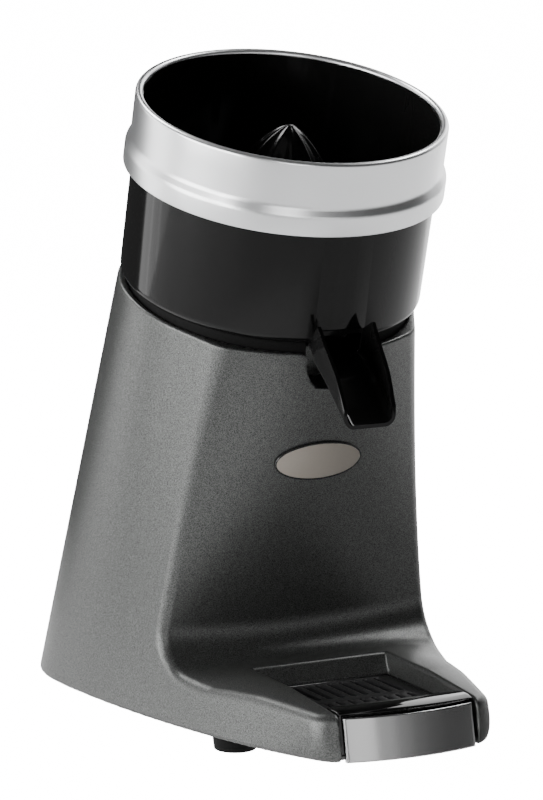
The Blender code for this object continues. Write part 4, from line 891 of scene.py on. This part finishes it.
def build_tray():
    """Drip tray with its bowed front, the glossy panel on it, and the slotted grid."""
    low = (WELL_FLOOR + 0.4) * MM
    rear = (WELL_REAR_FOOT - 0.6) * MM
    behind = PANEL_THICKNESS + GAP
    tray = box("tray_body", (-TRAY_HALF, -135.0 * MM, low), (TRAY_HALF, rear, TRAY_SIDE_TOP), "tray_black")
    front = loft("tray_front", [
        bowed_loop(TRAY_HALF, low, behind, 0.0, LEDGE_REAR),
        bowed_loop(TRAY_HALF, PANEL_TOP - 1.0 * MM, behind, 0.0, LEDGE_REAR),
        bowed_loop(TRAY_HALF, PANEL_TOP + 0.4 * MM, 0.8 * MM, 0.0, LEDGE_REAR),
        bowed_loop(TRAY_HALF, TRAY_FRONT_TOP, 5.5 * MM, 0.0, LEDGE_REAR),
    ])
    cut(tray, front, "UNION")
    skin = TRAY_SKIN
    ledge = GRID_TOP - GRID_THICKNESS - GAP
    cut(tray, box("tray_upper", (-TRAY_HALF + skin, LEDGE_REAR + skin, ledge),
                  (TRAY_HALF - skin, rear - skin, TRAY_CUT_TOP + 10.0 * MM)))
    cut(tray, box("tray_lower", (-TRAY_HALF + 2 * skin, LEDGE_REAR + 2 * skin, low + skin),
                  (TRAY_HALF - 2 * skin, rear - 2 * skin, TRAY_CUT_TOP)))
    soften(tray, TRAY_EDGE)

    panel = loft("tray_front_panel", [
        bowed_loop(PANEL_HALF, z, 0.0, PANEL_THICKNESS)
        for z in (PANEL_FOOT, PANEL_FOOT + 0.8 * MM, PANEL_TOP - 2.2 * MM, PANEL_TOP - 1.4 * MM)
    ], "panel_gloss")
    soften(panel, PANEL_EDGE)

    edge = TRAY_HALF - skin - GRID_PLAY
    grid = box("drip_grid", (-edge, LEDGE_REAR + skin + GRID_PLAY, GRID_TOP - GRID_THICKNESS),
               (edge, rear - skin - GRID_PLAY, GRID_TOP), "black_plastic")
    half, reach = GRID_SLOT
    for y in GRID_SLOT_Y:
        for x in GRID_SLOT_X:
            outline = (arc((x, y + reach - half), half, 0.0, 180.0, 9)
                       + arc((x, y - reach + half), half, 180.0, 360.0, 9))
            cut(grid, loft("slot", [[Vector((a, b, z)) for a, b in outline] for z in (0.0, TRAY_CUT_TOP)]))
    soften(grid, GRID_EDGE, 2)
    return tray, panel, grid


def build_foot(corner):
    """Round rubber foot, bored for its screw."""
    x, y = FEET[corner]
    wide = FOOT_RADIUS + 1.0 * MM
    profile = rounded([
        (SCREW_RADIUS, FOOT_TOP), (wide, FOOT_TOP), (wide, FOOT_TOP - 2.0 * MM), (FOOT_RADIUS, 0.0),
        (HEAD_RADIUS, 0.0), (HEAD_RADIUS, HEAD_DEPTH), (SCREW_RADIUS, HEAD_DEPTH)],
        (0.0, 0.5 * MM, 0.8 * MM, 0.9 * MM, 0.5 * MM, 0.0, 0.0))
    return turned(f"rubber_foot_{corner}", profile, "rubber", 64, Matrix.Translation((x, y, 0.0)))


def on_face(x, z, out):
    """Place on the casting's face, moved out of it, in metres."""
    y = float(face_y(x / MM, z / MM)) * MM
    return Vector((x, y - out, z - out * FACE_SLOPE))


def oval_ring(reach, inset, out):
    """Points on the badge's oval, inset from its edge, scaled by reach and moved out of the face."""
    points = []
    for i in range(BADGE_POINTS):
        angle = 2.0 * pi * i / BADGE_POINTS
        points.append(on_face((BADGE_HALF[0] - inset) * reach * cos(angle),
                              BADGE_Z + (BADGE_HALF[1] - inset) * reach * sin(angle), out))
    return points


def build_badge():
    """Blank enamelled oval in a dark raised rim."""
    thick = BADGE_THICKNESS
    rim_rows = [(0.0, GAP), (0.0, GAP + thick * 0.75), (0.25 * MM, GAP + thick), (0.75 * MM, GAP + thick),
                (BADGE_RIM, GAP + thick * 0.85), (BADGE_RIM, GAP)]
    bm = bmesh.new()
    rows = [[bm.verts.new(p) for p in oval_ring(1.0, inset, out)] for inset, out in rim_rows]
    for row, following in zip(rows, rows[1:] + rows[:1]):
        for i in range(len(row)):
            j = (i + 1) % len(row)
            bm.faces.new((row[i], row[j], following[j], following[i]))
    rim = new_object("badge_rim", finished_mesh(bm, "badge_rim"), "badge_edge")

    bm = bmesh.new()
    crown = ((1.0, 0.0), (1.0, 0.8), (0.9, 0.86), (0.6, 0.92), (0.3, 0.95))
    rows = [[bm.verts.new(p) for p in oval_ring(reach, BADGE_RIM, GAP + thick * share)]
            for reach, share in crown]
    back = bm.verts.new(on_face(0.0, BADGE_Z, GAP))
    front = bm.verts.new(on_face(0.0, BADGE_Z, GAP + thick * 0.96))
    for row, following in zip(rows, rows[1:]):
        for i in range(len(row)):
            j = (i + 1) % len(row)
            bm.faces.new((row[i], row[j], following[j], following[i]))
    for row, middle in ((rows[0], back), (rows[-1], front)):
        for i in range(len(row)):
            bm.faces.new((row[i], row[(i + 1) % len(row)], middle))
    plate = new_object("badge_plate", finished_mesh(bm, "badge_plate"), "badge_enamel")
    return rim, plate


# ---------------------------------------------------------------- studio

CAMERA_TARGET = Vector((-39.88, -72.0, 183.24)) * MM
CAMERA_DISTANCE = 2548.45 * MM
CAMERA_TURN = radians(-27.47)
CAMERA_RISE = radians(10.66)
CAMERA_LENS = 223.74
WORLD_LIGHT = 0.03
# the table's glow: from and to which X it changes, and its two strengths, away from the object and near it
TABLE_FAR = ((-1.0, 0.5), (0.25, 0.9))
TABLE_NEAR = ((-0.06, 0.08), (1.15, 0.12))
TABLE_TURNOVER = (0.32, 0.42)         # distances between which the one gives way to the other

def strip(name, first_turn, step, reach, height, size, powers, matt):
    """Row of upright softboxes round the object; turns are in degrees from the front, to the right."""
    lamps = []
    for i, power in enumerate(powers):
        turn = radians(first_turn + step * i)
        place = (reach * sin(turn), -reach * cos(turn), height)
        lamps.append((f"{name}_{i}", place, (0.0, 0.0, 0.15), size, power, matt, True))
    return lamps


# name, place and the point faced (m), width and height (m), power (W), lights matt, lights glossy surfaces
LAMPS = [
    ("left", (-1.4, 0.03, 0.42), (0.0, 0.0, 0.15), (0.8, 0.8), 14.0, True, True),
    ("left_card", (-0.12, -0.145, 0.1), (-0.03, -0.08, 0.09), (0.05, 0.16), 0.06, True, False),
    ("left_glint", (-1.28, -0.58, 0.45), (0.0, 0.0, 0.3), (0.25, 0.9), 7.0, False, True),
    ("rim", (-0.29, 0.78, 1.33), (0.0, 0.0, 0.1), (0.6, 0.5), 11.0, False, True),
    ("cove", (0.92, 0.05, 1.25), (0.0, -0.1, 0.05), (0.5, 0.4), 7.0, False, True),
    ("top", (-0.45, -0.85, 1.4), (0.0, 0.0, 0.17), (1.0, 0.6), 0.35, True, True),
    ("front_left", (-0.6, -1.55, 0.6), (0.0, 0.0, 0.12), (0.6, 0.8), 4.5, False, True),
    ("front", (0.05, -1.7, 0.28), (0.0, 0.0, 0.1), (0.45, 0.36), 0.75, False, True),
    *strip("front_strip", 14.0, 7.5, 1.7, 0.28, (0.22, 0.36), [0.15 * 0.52 ** i for i in range(6)], False),
    *strip("left_strip", -143.0, 9.0, 1.27, 0.25, (0.22, 1.5), (3.0, 3.0, 2.6, 0.9, 0.25), True),
    ("right", (1.26, 0.25, 0.4), (0.0, 0.0, 0.2), (0.6, 1.4), 2.0, True, True),
    ("right_rear", (1.0, 0.82, 0.4), (0.0, 0.0, 0.2), (0.7, 1.4), 8.0, True, True),
]


def build_camera():
    """Camera that stands where the photo's camera stood."""
    back = Vector((sin(CAMERA_TURN) * cos(CAMERA_RISE), -cos(CAMERA_TURN) * cos(CAMERA_RISE),
                   sin(CAMERA_RISE)))
    right = Vector((cos(CAMERA_TURN), sin(CAMERA_TURN), 0.0))
    up = back.cross(right)
    data = bpy.data.cameras.new("camera")
    data.lens = CAMERA_LENS
    data.sensor_width = 36.0
    data.sensor_fit = "AUTO"
    data.clip_start, data.clip_end = 0.1, 20.0
    camera = bpy.data.objects.new("camera", data)
    camera.matrix_world = (Matrix.Translation(CAMERA_TARGET + back * CAMERA_DISTANCE)
                           @ Matrix((right, up, back)).transposed().to_4x4())
    bpy.context.scene.collection.objects.link(camera)
    bpy.context.scene.camera = camera


def softbox(name, place, target, size, power, matt, glossy):
    """Rectangular lamp that the camera doesn't see."""
    data = bpy.data.lights.new(name, "AREA")
    data.shape = "RECTANGLE"
    data.size, data.size_y = size
    data.energy = power
    lamp = bpy.data.objects.new(name, data)
    place, target = Vector(place), Vector(target)
    lamp.location = place
    lamp.rotation_euler = (target - place).to_track_quat("-Z", "Y").to_euler()
    lamp.visible_camera = False
    lamp.visible_diffuse = matt
    lamp.visible_glossy = glossy
    bpy.context.scene.collection.objects.link(lamp)


def stage_slab(name, low, high, finish, camera):
    """Part of the studio, seen either by the camera alone or in the object's reflections alone."""
    slab = box(name, low, high, finish)
    slab.visible_camera = camera
    slab.visible_diffuse = False
    slab.visible_glossy = not camera
    slab.visible_shadow = False


def spread_node(nodes, between, values):
    """Smooth change from one value to the other between two places."""
    spread = nodes.new("ShaderNodeMapRange")
    spread.interpolation_type = "SMOOTHSTEP"
    for socket, value in zip(("From Min", "From Max", "To Min", "To Max"), (*between, *values)):
        spread.inputs[socket].default_value = value
    return spread


def shade_table():
    """The table's glow: brighter to the right at a distance, but brighter to the left near the object."""
    nodes, links = FINISHES["table"].node_tree.nodes, FINISHES["table"].node_tree.links
    place = nodes["Texture Coordinate"].outputs["Object"]
    apart = nodes.new("ShaderNodeSeparateXYZ")
    reach = nodes.new("ShaderNodeVectorMath")
    reach.operation = "LENGTH"
    links.new(place, apart.inputs["Vector"])
    links.new(place, reach.inputs[0])
    far = spread_node(nodes, *TABLE_FAR)
    near = spread_node(nodes, *TABLE_NEAR)
    outward = spread_node(nodes, TABLE_TURNOVER, (0.0, 1.0))
    links.new(apart.outputs["X"], far.inputs["Value"])
    links.new(apart.outputs["X"], near.inputs["Value"])
    links.new(reach.outputs["Value"], outward.inputs["Value"])
    mixed = nodes.new("ShaderNodeMix")
    links.new(outward.outputs["Result"], mixed.inputs["Factor"])
    links.new(near.outputs["Result"], mixed.inputs["A"])
    links.new(far.outputs["Result"], mixed.inputs["B"])
    links.new(mixed.outputs["Result"], nodes["Principled BSDF"].inputs["Emission Strength"])


def build_world():
    """White surroundings behind the object, and only a faint light from them on it."""
    world = bpy.data.worlds.new("studio")
    world.use_nodes = True
    nodes, links = world.node_tree.nodes, world.node_tree.links
    path = nodes.new("ShaderNodeLightPath")
    spread = nodes.new("ShaderNodeMapRange")
    spread.inputs["To Min"].default_value = WORLD_LIGHT
    spread.inputs["To Max"].default_value = WHITE_GLOW
    links.new(path.outputs["Is Camera Ray"], spread.inputs["Value"])
    links.new(spread.outputs["Result"], nodes["Background"].inputs["Strength"])
    nodes["Background"].inputs["Color"].default_value = (1.0, 1.0, 1.0, 1.0)
    bpy.context.scene.world = world


def build_studio():
    """Floor for the camera, a table that only reflections see, white surroundings and the lamps."""
    stage_slab("floor", (-6.0, -6.0, -0.02), (6.0, 6.0, 0.0), "floor", True)
    stage_slab("table", (-2.5, -2.5, -0.03), (2.5, 0.6, -0.002), "table", False)
    shade_table()
    build_world()
    for lamp in LAMPS:
        softbox(*lamp)


# ---------------------------------------------------------------- scene

def main():
    """Give the CAD nodes their finishes, put the fine pieces in place of the outer ones, and light it all."""
    slots = {entry["node"]: entry["material_slot"] for entry in frame["record"]["subparts"]}
    for name, node in frame["nodes"].items():
        node.data.materials.clear()
        node.data.materials.append(FINISHES[slots[name]])

    tray, panel, grid = build_tray()
    rim, plate = build_badge()
    dressed = [
        (build_casting(), "housing", "base"), (build_bowl(), "bowl", "bowl"),
        (build_ring(), "splash_ring", "splash_ring"), (build_strainer(), "strainer", "strainer"),
        (build_reamer(), "reamer", "reamer"), (build_gasket(), "bowl_seat_gasket", "base"),
        (tray, "drip_tray", "drip_tray"), (panel, "tray_panel", "drip_tray"),
        (grid, "tray_grid", "tray_grid"), (rim, "badge", "base"), (plate, "badge", "base"),
    ]
    for corner in FEET:
        dressed.append((build_foot(corner), f"foot_{corner}", "base"))
    for piece, node, body in dressed:
        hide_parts(node)
        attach(piece, body)
    build_camera()
    build_studio()


main()
